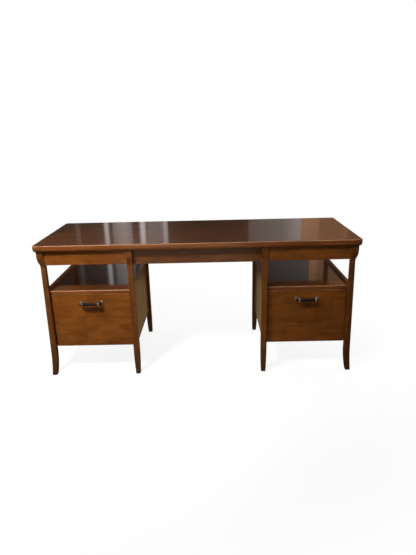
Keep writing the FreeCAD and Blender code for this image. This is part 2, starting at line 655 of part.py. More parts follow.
def make_desk():
    """Every piece of the desk by its node name."""
    front_apron = make_front_apron(inner_face_x, leg_face_x)
    center_apron = make_front_apron(-kneehole_x, kneehole_x)
    end_rail = make_side_rail(
        ear_face_x - APRON_RECESS - APRON_THICKNESS, ear_face_x - APRON_RECESS, ear_face_x - APRON_RECESS,
    )
    cross_rail = make_side_rail(cross_rail_x0, cross_rail_x0 + APRON_THICKNESS, cross_rail_x0)
    shelf = make_shelf()
    pedestal_bottom = make_pedestal_bottom()
    housed = [shelf, pedestal_bottom]
    outer_panel = make_side_panel(leg_face_x, leg_face_x + SIDE_PANEL_THICKNESS, housed)
    inner_panel = make_side_panel(inner_face_x - SIDE_PANEL_THICKNESS, inner_face_x, housed)
    front_corner_leg = make_corner_leg().cut([front_apron, end_rail, outer_panel])
    front_inner_leg = make_inner_leg().cut([front_apron, cross_rail, inner_panel])
    rear_inner_leg = rear_of(front_inner_leg.cut(center_apron))
    paired = {
        "front_corner_leg": front_corner_leg,
        "front_inner_leg": front_inner_leg,
        "rear_corner_leg": rear_of(front_corner_leg),
        "rear_inner_leg": rear_inner_leg,
        "front_apron": front_apron,
        "rear_apron": rear_of(front_apron),
        "end_apron": end_rail,
        "cross_rail": cross_rail,
        "pedestal_outer_side": outer_panel,
        "pedestal_inner_side": inner_panel,
        "pedestal_shelf": shelf,
        "pedestal_bottom": pedestal_bottom,
        "pedestal_back": make_pedestal_back(),
    }
    paired.update(make_file_drawer())
    runners = [
        make_file_runner(inner_face_x, inner_face_x + FILE_RUNNER_DEPTH),
        make_file_runner(leg_face_x - FILE_RUNNER_DEPTH, leg_face_x),
    ]
    pencil_runner = make_pencil_runner()
    desk = {
        "top": make_top(),
        "rear_center_apron": rear_of(center_apron),
        "file_drawer_runners": Part.makeCompound(runners + [left_of(runner) for runner in runners]),
        "pencil_drawer_runners": Part.makeCompound([pencil_runner, left_of(pencil_runner)]),
        "glue_blocks": make_glue_blocks(),
    }
    desk.update(make_pencil_drawer())
    for name, shape in paired.items():
        desk["right_" + name] = shape
        desk["left_" + name] = left_of(shape)
    return desk


os.makedirs("parts", exist_ok=True)
for node, shape in make_desk().items():
    shape.exportStep("parts/" + node + ".step")
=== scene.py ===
"""Looks of a kneehole desk on sabre legs: lacquered walnut, bar pulls and a small round lock.

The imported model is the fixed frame. Its boards and drawer boxes stay as they are and get their finish
here. The slab, the legs, the pulls and the lock's rim are modelled again with rounder edges.
Metres; +X is the sitter's right, +Y the back, +Z up, and the floor is at Z = 0.
"""

import json
import logging
import math
from collections.abc import Mapping, Sequence
from dataclasses import dataclass, field, replace
from enum import Enum

import bmesh
import bpy
from mathutils import Matrix, Vector


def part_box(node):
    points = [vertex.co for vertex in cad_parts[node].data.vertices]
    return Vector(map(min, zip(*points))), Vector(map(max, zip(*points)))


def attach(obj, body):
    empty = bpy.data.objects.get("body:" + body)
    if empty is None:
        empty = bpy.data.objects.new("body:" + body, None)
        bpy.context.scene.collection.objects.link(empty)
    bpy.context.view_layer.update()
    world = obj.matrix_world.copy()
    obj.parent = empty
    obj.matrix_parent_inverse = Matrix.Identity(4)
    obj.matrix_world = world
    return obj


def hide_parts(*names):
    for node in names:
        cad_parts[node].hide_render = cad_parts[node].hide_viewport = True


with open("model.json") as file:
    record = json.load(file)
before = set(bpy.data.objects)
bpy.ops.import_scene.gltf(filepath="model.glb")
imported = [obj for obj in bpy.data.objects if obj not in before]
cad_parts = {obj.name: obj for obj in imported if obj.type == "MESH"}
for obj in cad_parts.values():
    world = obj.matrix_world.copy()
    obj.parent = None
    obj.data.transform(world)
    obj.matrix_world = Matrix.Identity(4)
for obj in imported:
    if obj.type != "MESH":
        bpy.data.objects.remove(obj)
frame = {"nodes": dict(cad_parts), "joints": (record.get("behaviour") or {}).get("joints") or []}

LOG = logging.getLogger("desk")
HANDS = ("left", "right")
MM = 0.001
RIGHT = Vector((1.0, 0.0, 0.0))
FORWARD = Vector((0.0, -1.0, 0.0))
BACK = Vector((0.0, 1.0, 0.0))
UP = Vector((0.0, 0.0, 1.0))
QUARTER_TURN = math.pi / 2.0
# Points closer than the first are merged, and places closer than the second count as the same
MERGE_REACH = 0.002 * MM
NEAR = 0.01 * MM
# An edge that climbs less than this is level
LEAST_RISE = 0.5 * MM
# Faces that meet at more than this keep a sharp edge in the shading
SHARP_ANGLE = math.radians(32.0)
WHITE = (1.0, 1.0, 1.0, 1.0)
# Nearly all of a noise lies between these values
NOISE_SPAN = (0.3, 0.7)
RANGE_SOCKETS = ("From Min", "From Max", "To Min", "To Max")
# Sockets of a Mix node for colours, which has several of each name
MIX_SHARE, MIX_FIRST, MIX_SECOND, MIX_RESULT = 0, 6, 7, 2
Colour = tuple[float, float, float, float]
MeshPart = bmesh.types.BMVert | bmesh.types.BMEdge | bmesh.types.BMFace


class Grain(Enum):
    """Way that the grain of a board runs, as the number of its axis."""

    ALONG_WIDTH = 0
    ALONG_DEPTH = 1
    UPRIGHT = 2


def linear(hex_code: str) -> Colour:
    """Turn an sRGB colour into the linear one that shaders take.

    Args:
        hex_code: Six hex digits after a hash sign.

    Returns:
        Linear red, green, blue and an alpha of 1.
    """
    channels = [int(hex_code[start:start + 2], 16) / 255.0 for start in (1, 3, 5)]
    red, green, blue = [
        value / 12.92 if value <= 0.04045 else ((value + 0.055) / 1.055) ** 2.4 for value in channels
    ]
    return red, green, blue, 1.0


def set_inputs(
    node: bpy.types.Node,
    values: Mapping[str | int, object] | None = None,
    links: Mapping[str | int, bpy.types.NodeSocket] | None = None,
) -> None:
    """Set some inputs of a node and link others.

    Args:
        node: Node of a tree.
        values: Fixed value of each input that has one.
        links: Output that feeds each linked input.
    """
    for socket, value in (values or {}).items():
        node.inputs[socket].default_value = value
    for socket, source in (links or {}).items():
        node.id_data.links.new(source, node.inputs[socket])


def add_node(
    tree: bpy.types.NodeTree,
    kind: str,
    values: Mapping[str | int, object] | None = None,
    links: Mapping[str | int, bpy.types.NodeSocket] | None = None,
    stops: Sequence[tuple[float, Colour]] = (),
    **settings: object,
) -> bpy.types.Node:
    """Add one node with its settings, fixed inputs, links and colour stops.

    Args:
        tree: Node tree that the node joins.
        kind: Blender's type name of the node.
        values: Fixed value of each input that has one.
        links: Output that feeds each linked input.
        stops: Positions and colours of a colour ramp.
        **settings: Properties of the node itself.

    Returns:
        The new node.
    """
    node = tree.nodes.new(kind)
    for name, value in settings.items():
        setattr(node, name, value)
    set_inputs(node, values, links)
    for index, (position, colour) in enumerate(stops):
        ramp = node.color_ramp.elements
        stop = ramp[index] if index < len(ramp) else ramp.new(position)
        stop.position = position
        stop.color = colour
    return node


def new_material(name: str) -> tuple[bpy.types.Material, bpy.types.NodeTree, bpy.types.Node]:
    """Make a node material.

    Args:
        name: Name of the real material and how its surface was made.

    Returns:
        The material, its node tree and its shader.
    """
    material = bpy.data.materials.new(name)
    material.use_nodes = True
    return material, material.node_tree, material.node_tree.nodes["Principled BSDF"]


@dataclass(frozen=True)
class GrainedWood:
    """Wood with long growth figure, fine streaks and open pores, bare or under lacquer.

    Stain sinks into the soft wood, so the figure is dark on mid brown. Lacquer lies over it as a clear
    coat, rubbed a little paler along the arrises. Upper rounds get a painted highlight in the same pale
    colour.
    """

    name: str
    dark: str
    mid: str
    light: str
    pore: str
    # Pale colour of rubbed arrises, which is also the painted highlight on upper rounds
    wear_and_highlight: str
    roughness: float
    coat: float
    coat_roughness: float
    figure_share: float = 0.16
    streak_share: float = 0.5
    pore_share: float = 0.6
    cloud_share: float = 0.0
    wear_share: float = 0.5
    # Share of painted highlight on the upper rounds
    rim_highlight: float = 0.35
    # Painted light: how much lighter upright faces are drawn than level ones
    upright_light_lift: float = 0.0
    # Colour and share of the darkening towards the floor, and the height where it begins
    floor_dark_colour: str = "#3A2B1F"
    floor_dark_share: float = 0.0
    floor_dark_height_mm: float = 260.0
    ior: float = 1.5
    # Lacquer and wood refract alike, so the wood under a coat has nearly no gloss of its own
    bare_gloss: float = 0.12
    sheen_swing: float = 0.07
    figure_along_mm: float = 900.0
    figure_across_mm: float = 62.0
    figure_lines: float = 7.0
    band_along_mm: float = 640.0
    band_across_mm: float = 11.0
    streak_along_mm: float = 240.0
    streak_across_mm: float = 2.6
    # Walnut's pores are 0.2 mm wide: drawn at 0.7 mm, so that they show in a close view
    pore_along_mm: float = 8.0
    pore_across_mm: float = 0.7
    pore_limits: tuple[float, float] = (0.58, 0.68)
    pore_sink: float = 0.7
    tone_mm: float = 420.0
    tone_levels: tuple[float, float] = (0.84, 1.16)
    cloud_along_mm: float = 120.0
    cloud_across_mm: float = 52.0
    noise_roughness: float = 0.55
    # Where the dark, mid and light stains lie in the mixed pattern
    stain_stops: tuple[float, float, float] = (0.12, 0.5, 0.92)
    relief_mm: float = 0.06
    relief_strength: float = 0.35
    edge_mm: float = 2.2
    edge_samples: int = 4
    # Likeness of a face's direction to that of its surroundings: plain face and rubbed arris
    edge_facing: tuple[float, float] = (0.995, 0.80)
    # Upward part of a face's direction: where level faces end and the upright ones, painted lighter, begin;
    # and the middle and reach of an upper round, which gets a painted highlight
    upright_light_rise: tuple[float, float] = (0.95, 0.6)
    round_rise: float = 0.6
    round_reach: tuple[float, float] = (0.37, 0.12)
    # Broad patches that break up both the arris wear and the painted highlight
    patch_limits: tuple[float, float] = (0.40, 0.60)
    patch_levels: tuple[float, float] = (0.6, 1.0)

    @staticmethod
    def stretch(grain: Grain, along_mm: float, across_mm: float) -> tuple[float, float, float]:
        """Scale that draws a pattern out along the grain.

        Args:
            grain: Way that the grain runs.
            along_mm: Size of the pattern along the grain.
            across_mm: Size of the pattern across the grain.

        Returns:
            Scale of the three coordinates, per metre.
        """
        scale = [1.0 / (across_mm * MM)] * 3
        scale[grain.value] = 1.0 / (along_mm * MM)
        return scale[0], scale[1], scale[2]

    def material(self, grain: Grain) -> bpy.types.Material:
        """Make the wood with its grain in one direction, or find it if it is made already.

        Args:
            grain: Way that the grain runs.

        Returns:
            The material.
        """
        name = f"{self.name}_{grain.name.lower()}"
        if name in bpy.data.materials:
            return bpy.data.materials[name]
        material, tree, shader = new_material(name)
        place = add_node(tree, "ShaderNodeTexCoord").outputs["Object"]
        pattern = self.patterns(tree, place, grain)
        rise = self.rise_of_face(tree)
        pores = add_node(
            tree, "ShaderNodeMapRange", dict(zip(RANGE_SOCKETS, (*self.pore_limits, 0.0, self.pore_share))),
            {"Value": pattern["pore"]},
        ).outputs["Result"]
        covers = [(self.pore, pores), (self.wear_and_highlight, self.edge_wear_and_highlight(tree, pattern["tone"], rise))]
        if self.floor_dark_share > 0.0:
            covers.append((self.floor_dark_colour, self.darken_towards_floor(tree, place)))
        colour = self.stained(tree, pattern, rise)
        for cover, share in covers:
            colour = add_node(
                tree, "ShaderNodeMix", {MIX_SECOND: linear(cover)}, {MIX_SHARE: share, MIX_FIRST: colour},
                data_type="RGBA",
            ).outputs[MIX_RESULT]
        sheen = (self.roughness - self.sheen_swing, self.roughness + self.sheen_swing)
        dull = add_node(
            tree, "ShaderNodeMapRange", dict(zip(RANGE_SOCKETS, (*NOISE_SPAN, *sheen))),
            {"Value": pattern["band"]},
        )
        sunk = add_node(
            tree, "ShaderNodeMath", {1: -self.pore_sink}, {0: pores, 2: pattern["streak"]},
            operation="MULTIPLY_ADD",
        )
        bump = add_node(
            tree, "ShaderNodeBump", {"Strength": self.relief_strength, "Distance": self.relief_mm * MM},
            {"Height": sunk.outputs[0]},
        )
        set_inputs(
            shader,
            {
                "IOR": self.ior, "Specular IOR Level": self.bare_gloss,
                "Coat Weight": self.coat, "Coat Roughness": self.coat_roughness,
            },
            {"Base Color": colour, "Roughness": dull.outputs["Result"], "Normal": bump.outputs["Normal"]},
        )
        return material

    def patterns(
        self, tree: bpy.types.NodeTree, place: bpy.types.NodeSocket, grain: Grain,
    ) -> dict[str, bpy.types.NodeSocket]:
        """Make the noises of the wood, each drawn out along the grain.

        Args:
            tree: Node tree of the material.
            place: Place of each point on the desk.
            grain: Way that the grain runs.

        Returns:
            Each noise by its name.
        """
        # Size along and across the grain, detail and distortion
        sizes = {
            "figure": (self.figure_along_mm, self.figure_across_mm, 2.0, 0.35),
            "band": (self.band_along_mm, self.band_across_mm, 3.0, 0.25),
            "streak": (self.streak_along_mm, self.streak_across_mm, 2.0, 0.0),
            "pore": (self.pore_along_mm, self.pore_across_mm, 1.0, 0.0),
            "tone": (self.tone_mm, self.tone_mm, 1.0, 0.0),
            "cloud": (self.cloud_along_mm, self.cloud_across_mm, 3.0, 0.8),
        }
        pattern = {}
        for part, (along, across, detail, distortion) in sizes.items():
            mapped = add_node(
                tree, "ShaderNodeMapping", {"Scale": self.stretch(grain, along, across)}, {"Vector": place},
            )
            pattern[part] = add_node(
                tree, "ShaderNodeTexNoise",
                {"Scale": 1.0, "Detail": detail, "Roughness": self.noise_roughness, "Distortion": distortion},
                {"Vector": mapped.outputs["Vector"]},
            ).outputs["Fac"]
        return pattern

    def stained(
        self,
        tree: bpy.types.NodeTree,
        pattern: Mapping[str, bpy.types.NodeSocket],
        rise: bpy.types.NodeSocket,
    ) -> bpy.types.NodeSocket:
        """Stain the wood: figure and streaks choose the stain, broad patterns change its depth, and upright
        faces are painted lighter.

        Args:
            tree: Node tree of the material.
            pattern: Noises of the wood.
            rise: Upward part of the surface's own direction.

        Returns:
            Colour of the clean wood between its pores.
        """
        # Level lines of a drawn-out noise close round each other as the arches of a sawn board do
        turns = add_node(
            tree, "ShaderNodeMath", {1: math.tau * self.figure_lines}, {0: pattern["figure"]},
            operation="MULTIPLY",
        )
        lines = add_node(tree, "ShaderNodeMath", None, {0: turns.outputs[0]}, operation="SINE")
        total = add_node(
            tree, "ShaderNodeMath", {1: self.figure_share / 2.0, 2: 0.5 - self.streak_share},
            {0: lines.outputs[0]}, operation="MULTIPLY_ADD",
        ).outputs[0]
        for part in ("band", "streak"):
            total = add_node(
                tree, "ShaderNodeMath", {1: self.streak_share}, {0: pattern[part], 2: total},
                operation="MULTIPLY_ADD",
            ).outputs[0]
        stains = zip(self.stain_stops, (self.dark, self.mid, self.light))
        stain = add_node(
            tree, "ShaderNodeValToRGB", None, {"Fac": total},
            [(position, linear(colour)) for position, colour in stains],
        )
        changes = (
            # A board differs in tone from one end to the other
            (pattern["tone"], NOISE_SPAN, self.tone_levels),
            # Stain takes unevenly in clouds a hand wide
            (pattern["cloud"], NOISE_SPAN, (-self.cloud_share, self.cloud_share)),
            # Painted light: upright faces, such as the slab's edge, are drawn lighter than level ones
            (rise, self.upright_light_rise, (0.0, self.upright_light_lift)),
        )
        # Each change adds to those before it, and the first to nothing
        depth: dict[int, bpy.types.NodeSocket] = {}
        for source, limits, levels in changes:
            change = add_node(
                tree, "ShaderNodeMapRange", dict(zip(RANGE_SOCKETS, (*limits, *levels))), {"Value": source},
            ).outputs["Result"]
            depth[0] = add_node(
                tree, "ShaderNodeMath", {0: 0.0}, {**depth, 1: change}, operation="ADD",
            ).outputs[0]
        return add_node(
            tree, "ShaderNodeHueSaturation", None, {"Value": depth[0], "Color": stain.outputs["Color"]},
        ).outputs["Color"]

    def darken_towards_floor(
        self, tree: bpy.types.NodeTree, place: bpy.types.NodeSocket,
    ) -> bpy.types.NodeSocket:
        """Find the wood near the floor, which is drawn darker towards the bottom.

        Args:
            tree: Node tree of the material.
            place: Place of each point on the desk.

        Returns:
            Share of the darker colour at each point.
        """
        height = add_node(tree, "ShaderNodeSeparateXYZ", None, {0: place}).outputs["Z"]
        limits = (self.floor_dark_height_mm * MM, 0.0)
        return add_node(
            tree, "ShaderNodeMapRange", dict(zip(RANGE_SOCKETS, (*limits, 0.0, self.floor_dark_share))),
            {"Value": height}, interpolation_type="SMOOTHSTEP",
        ).outputs["Result"]

    @staticmethod
    def rise_of_face(tree: bpy.types.NodeTree) -> bpy.types.NodeSocket:
        """Tell how far each face looks up: 1 for a level face, 0 for an upright one.

        Args:
            tree: Node tree of the material.

        Returns:
            Upward part of the surface's own direction.
        """
        facing = add_node(tree, "ShaderNodeTexCoord").outputs["Normal"]
        return add_node(tree, "ShaderNodeSeparateXYZ", None, {0: facing}).outputs["Z"]

    def edge_wear_and_highlight(
        self, tree: bpy.types.NodeTree, patches: bpy.types.NodeSocket, rise: bpy.types.NodeSocket,
    ) -> bpy.types.NodeSocket:
        """Find the arrises, where hands and dusters rub the finish paler, and the upper rounds, which get a
        painted highlight; both in patches.

        Args:
            tree: Node tree of the material.
            patches: Broad noise that breaks the wear up.
            rise: Upward part of the surface's own direction.

        Returns:
            Share of worn colour at each point.
        """
        flat = add_node(tree, "ShaderNodeNewGeometry").outputs["Normal"]
        eased = add_node(
            tree, "ShaderNodeBevel", {"Radius": self.edge_mm * MM}, samples=self.edge_samples,
        )
        facing = add_node(
            tree, "ShaderNodeVectorMath", None, {0: flat, 1: eased.outputs["Normal"]},
            operation="DOT_PRODUCT",
        )
        off_round = add_node(tree, "ShaderNodeMath", {1: self.round_rise}, {0: rise}, operation="SUBTRACT")
        away = add_node(tree, "ShaderNodeMath", None, {0: off_round.outputs[0]}, operation="ABSOLUTE")
        marks = (
            (facing.outputs["Value"], self.edge_facing, (0.0, self.wear_share)),
            # Upper rounds, which face the lamps, get a painted highlight
            (away.outputs[0], self.round_reach, (0.0, self.rim_highlight)),
            (patches, self.patch_limits, self.patch_levels),
        )
        edge, rim, patchy = [
            add_node(
                tree, "ShaderNodeMapRange", dict(zip(RANGE_SOCKETS, (*limits, *levels))), {"Value": source},
            ).outputs["Result"]
            for source, limits, levels in marks
        ]
        either = add_node(tree, "ShaderNodeMath", None, {0: edge, 1: rim}, operation="MAXIMUM")
        return add_node(
            tree, "ShaderNodeMath", None, {0: either.outputs[0], 1: patchy}, operation="MULTIPLY",
        ).outputs[0]


@dataclass(frozen=True)
class WornMetal:
    """Metal that was polished or lacquered and has dulled unevenly: broad tarnish and fine rub marks."""

    name: str
    clean: str
    tarnished: str
    roughness: float
    metallic: float = 1.0
    patch_mm: float = 7.0
    # Rub marks are finer than this: drawn at 0.5 mm, so that they show in a close view
    rub_mm: float = 0.5
    tarnish_limits: tuple[float, float] = (0.38, 0.68)
    sheen_swing: tuple[float, float] = (-0.06, 0.10)
    relief_mm: float = 0.02
    relief_strength: float = 0.2

    def material(self) -> bpy.types.Material:
        """Make the metal, or find it if it is made already.

        Returns:
            The material.
        """
        if self.name in bpy.data.materials:
            return bpy.data.materials[self.name]
        material, tree, shader = new_material(self.name)
        place = add_node(tree, "ShaderNodeTexCoord").outputs["Object"]
        patches, rubs = [
            add_node(
                tree, "ShaderNodeTexNoise", {"Scale": 1.0 / (size * MM), "Detail": detail}, {"Vector": place},
            ).outputs["Fac"]
            for size, detail in ((self.patch_mm, 3.0), (self.rub_mm, 2.0))
        ]
        states = zip(self.tarnish_limits, (self.clean, self.tarnished))
        colour = add_node(
            tree, "ShaderNodeValToRGB", None, {"Fac": patches},
            [(position, linear(state)) for position, state in states],
        )
        sheen = [self.roughness + swing for swing in self.sheen_swing]
        dull = add_node(
            tree, "ShaderNodeMapRange", dict(zip(RANGE_SOCKETS, (*NOISE_SPAN, *sheen))), {"Value": patches},
        )
        bump = add_node(
            tree, "ShaderNodeBump", {"Strength": self.relief_strength, "Distance": self.relief_mm * MM},
            {"Height": rubs},
        )
        set_inputs(
            shader, {"Metallic": self.metallic},
            {
                "Base Color": colour.outputs["Color"], "Roughness": dull.outputs["Result"],
                "Normal": bump.outputs["Normal"],
            },
        )
        return material


# Stained walnut polished to a mirror: dark red-brown that turns to clear reflections at a low angle
POLISHED_WALNUT = GrainedWood(
    "walnut_stained_polished_lacquer",
    dark="#49230E", mid="#5B3113", light="#70411C", pore="#2A1206", wear_and_highlight="#C2946E",
    roughness=0.36, coat=1.0, coat_roughness=0.07,
    # Its upright faces are painted lighter than the level top, and its upper rounds get a strong painted
    # highlight
    rim_highlight=0.65, upright_light_lift=0.92, pore_share=0.25, relief_mm=0.01,
)
# The same stain under sprayed lacquer: warm orange-brown with a soft sheen and quiet level streaks
SATIN_WALNUT = GrainedWood(
    "walnut_stained_satin_lacquer",
    dark="#6A3811", mid="#7F4717", light="#935A24", pore="#361A06", wear_and_highlight="#A36A30",
    roughness=0.42, coat=0.6, coat_roughness=0.14, cloud_share=0.24,
)
# Satin walnut of the legs: darker, and darker still towards the floor
LEG_WALNUT = replace(
    SATIN_WALNUT, name="walnut_leg_stained_satin_lacquer", dark="#562D0E", mid="#693B14", light="#7D4C20",
    floor_dark_share=0.6,
)
# Satin walnut of the pencil drawer: a darker, greyer copy that paints in the shade under the slab's overhang
SHADED_WALNUT = replace(
    SATIN_WALNUT, name="walnut_satin_lacquer_painted_shade", dark="#562E15", mid="#683C1A", light="#7A4C28",
)
# Pale hardwood inside the drawers, only sealed: dry, matt and yellow beside the stained fronts
SEALED_MAPLE = GrainedWood(
    "maple_planed_sealed",
    dark="#A9845A", mid="#C4A073", light="#D6B78C", pore="#8A6740", wear_and_highlight="#D9BF98",
    roughness=0.58, coat=0.12, coat_roughness=0.35,
    figure_share=0.18, streak_share=0.9, wear_share=0.2, bare_gloss=0.4,
)
# Beech stained black and lacquered: nearly no colour, all sheen
EBONISED_BEECH = GrainedWood(
    "beech_turned_ebonised",
    dark="#0E0B09", mid="#17120F", light="#241C17", pore="#070505", wear_and_highlight="#3A2C22",
    roughness=0.46, coat=0.25, coat_roughness=0.34,
    figure_share=0.2, streak_share=1.2, rim_highlight=0.0, edge_mm=0.8,
)
# Pewter plate buffed bright: pale grey with soft warm tarnish
BUFFED_PEWTER = WornMetal("pewter_plated_buffed", clean="#DED8CA", tarnished="#A79F90", roughness=0.36)
# Dark metal of the bent rod: brown-black, glinting where it is rubbed
DARK_ROD_METAL = WornMetal(
    "rod_metal_dark_brown", clean="#3A2C22", tarnished="#1C1511", roughness=0.34, metallic=0.85,
)
# Lock brass gone brown: dull gold, darker in patches
DULLED_BRASS = WornMetal(
    "brass_turned_dulled", clean="#A59378", tarnished="#705F45", roughness=0.52, patch_mm=4.0,
)
# Zinc-plated steel of the screws and the lock's bolt: cool pale grey
PLATED_STEEL = WornMetal(
    "steel_screw_zinc_plated", clean="#B4B6B8", tarnished="#83858A", roughness=0.30, patch_mm=2.5,
)


def finish_mesh(
    name: str,
    shape: bmesh.types.BMesh,
    material: bpy.types.Material,
    body: str,
    stands_for: Sequence[str] = (),
) -> bpy.types.Object:
    """Turn a modelled shape into a piece that rides on a body of the desk.

    Args:
        name: Name of the piece.
        shape: The modelled shape, in place; it is freed here.
        material: Finish of the piece.
        body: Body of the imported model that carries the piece.
        stands_for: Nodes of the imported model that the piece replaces.

    Returns:
        The piece, at the origin.
    """
    bmesh.ops.remove_doubles(shape, verts=shape.verts[:], dist=MERGE_REACH)
    bmesh.ops.recalc_face_normals(shape, faces=shape.faces[:])
    mesh = bpy.data.meshes.new(name)
    shape.to_mesh(mesh)
    shape.free()
    mesh.shade_smooth()
    mesh.set_sharp_from_angle(angle=SHARP_ANGLE)
    mesh.materials.append(material)
    piece = bpy.data.objects.new(name, mesh)
    bpy.context.scene.collection.objects.link(piece)
    # Wide faces keep flat shading beside their small rounds, so that the lacquer mirrors straight lines
    piece.modifiers.new("flat_face_shading", "WEIGHTED_NORMAL").keep_sharp = True
    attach(piece, body)
    if stands_for:
        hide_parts(*stands_for)
    LOG.info("piece %s on %s, %d faces", name, body, len(mesh.polygons))
    return piece


def even_steps(end: float, count: int) -> list[float]:
    """Step evenly from zero to an end.

    Args:
        end: Last value.
        count: Number of steps.

    Returns:
        All values, with zero and the end.
    """
    return [end * step / count for step in range(count + 1)]


def new_block(low: Vector, high: Vector) -> bmesh.types.BMesh:
    """Start a shape from a plain block.

    Args:
        low: Its lowest corner.
        high: Its highest corner.

    Returns:
        The block.
    """
    shape = bmesh.new()
    bmesh.ops.create_cube(shape, size=1.0)
    bmesh.ops.scale(shape, vec=high - low, verts=shape.verts[:])
    bmesh.ops.translate(shape, vec=(low + high) / 2.0, verts=shape.verts[:])
    return shape


def turn_profile(
    shape: bmesh.types.BMesh,
    profile: Sequence[tuple[float, float]],
    start: Vector,
    axis: Vector,
    steps: int = 40,
) -> None:
    """Turn a closed profile on an axis, as on a lathe.

    Args:
        shape: Shape that the turned part joins.
        profile: Points of the profile, as distance along the axis and radius.
        start: Point on the axis where the distance is zero.
        axis: Direction of the axis.
        steps: Number of steps in the full turn.
    """
    across = axis.orthogonal().normalized()
    points = [shape.verts.new(start + axis * along + across * radius) for along, radius in profile]
    edges = [shape.edges.new(pair) for pair in zip(points, points[1:] + points[:1])]
    bmesh.ops.spin(
        shape, geom=points + edges, cent=start, axis=axis, dvec=(0.0, 0.0, 0.0), angle=math.tau,
        steps=steps, use_merge=True,
    )


def level_edges(shape: bmesh.types.BMesh, height: float) -> list[bmesh.types.BMEdge]:
    """Find the level edges of a shape at one height.

    Args:
        shape: Shape to look through.
        height: Height of the edges.

    Returns:
        The edges whose two ends lie at that height.
    """
    return [edge for edge in shape.edges if all(abs(vert.co.z - height) < NEAR for vert in edge.verts)]


def rising_edges(shape: bmesh.types.BMesh) -> list[bmesh.types.BMEdge]:
    """Find the edges of a shape that aren't level."""
    return [edge for edge in shape.edges if abs(edge.verts[0].co.z - edge.verts[1].co.z) > LEAST_RISE]


def round_over(
    shape: bmesh.types.BMesh, edges: Sequence[bmesh.types.BMEdge], reach: float, steps: int,
) -> None:
    """Round the edges of a solid over.

    Args:
        shape: The solid.
        edges: Edges to be rounded.
        reach: How far the round reaches from each edge.
        steps: Number of faces across the round.
    """
    bmesh.ops.bevel(
        shape, geom=edges, offset=reach, affect="EDGES", segments=steps, profile=0.5, material=-1,
    )


def verts_of(parts: Sequence[MeshPart]) -> list[bmesh.types.BMVert]:
    """Pick the corners out of what an operator made."""
    return [part for part in parts if isinstance(part, bmesh.types.BMVert)]


def edges_of(parts: Sequence[MeshPart]) -> list[bmesh.types.BMEdge]:
    """Pick the edges out of what an operator made."""
    return [part for part in parts if isinstance(part, bmesh.types.BMEdge)]


def whole_of(faces: Sequence[bmesh.types.BMFace]) -> list[MeshPart]:
    """Collect faces with their edges and corners, as a cut needs them.

    Args:
        faces: Faces to be cut.

    Returns:
        The faces, their edges and their corners, each once and in a steady order.
    """
    edges = dict.fromkeys(edge for face in faces for edge in face.edges)
    verts = dict.fromkeys(vert for face in faces for vert in face.verts)
    return [*faces, *edges, *verts]


def push_in(shape: bmesh.types.BMesh, faces: Sequence[bmesh.types.BMFace], way: Vector) -> None:
    """Sink faces into a solid as the floor of a new recess.

    Args:
        shape: The solid.
        faces: Faces that become the floor.
        way: Direction and depth of the recess.
    """
    sunk = bmesh.ops.extrude_face_region(shape, geom=faces)["geom"]
    bmesh.ops.delete(shape, geom=faces, context="FACES_ONLY")
    bmesh.ops.translate(shape, vec=way, verts=verts_of(sunk))


@dataclass
class TopSlab:
    """Slab of the desk: round plan corners, a small round upper arris and a full round below."""

    corner: float = 18.0 * MM
    corner_steps: int = 12
    lower_round: float = 16.0 * MM
    lower_steps: int = 10
    upper_round: float = 5.0 * MM
    upper_steps: int = 6
    mortise_room: float = 1.5 * MM

    def build(self) -> bpy.types.Object:
        """Model the slab and give it its finish.

        Returns:
            The slab.
        """
        low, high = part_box("top")
        shape = new_block(low, high)
        round_over(shape, rising_edges(shape), self.corner, self.corner_steps)
        round_over(shape, level_edges(shape, low.z), self.lower_round, self.lower_steps)
        round_over(shape, level_edges(shape, high.z), self.upper_round, self.upper_steps)
        self.cut_mortise(shape, low.z)
        wood = POLISHED_WALNUT.material(Grain.ALONG_WIDTH)
        return finish_mesh("top_slab", shape, wood, "desk_frame", ["top"])

    def cut_mortise(self, shape: bmesh.types.BMesh, under: float) -> None:
        """Sink the mortise that the lock's bolt rises into.

        Args:
            shape: The slab.
            under: Height of the slab's underside.
        """
        low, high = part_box("lock_bolt")
        throw = next(joint["range_m"][1] for joint in frame["joints"] if joint["child"] == "lock_bolt")
        room = Vector((self.mortise_room, self.mortise_room, 0.0))
        for corner in (low - room, high + room):
            for normal in (RIGHT, BACK):
                below = [face for face in shape.faces if abs(face.calc_center_median().z - under) < NEAR]
                bmesh.ops.bisect_plane(shape, geom=whole_of(below), plane_co=corner, plane_no=normal)
        middle = Vector(((low.x + high.x) / 2.0, (low.y + high.y) / 2.0, under))
        floor = [face for face in shape.faces if (face.calc_center_median() - middle).length < NEAR]
        push_in(shape, floor, Vector((0.0, 0.0, high.z + throw + self.mortise_room - under)))


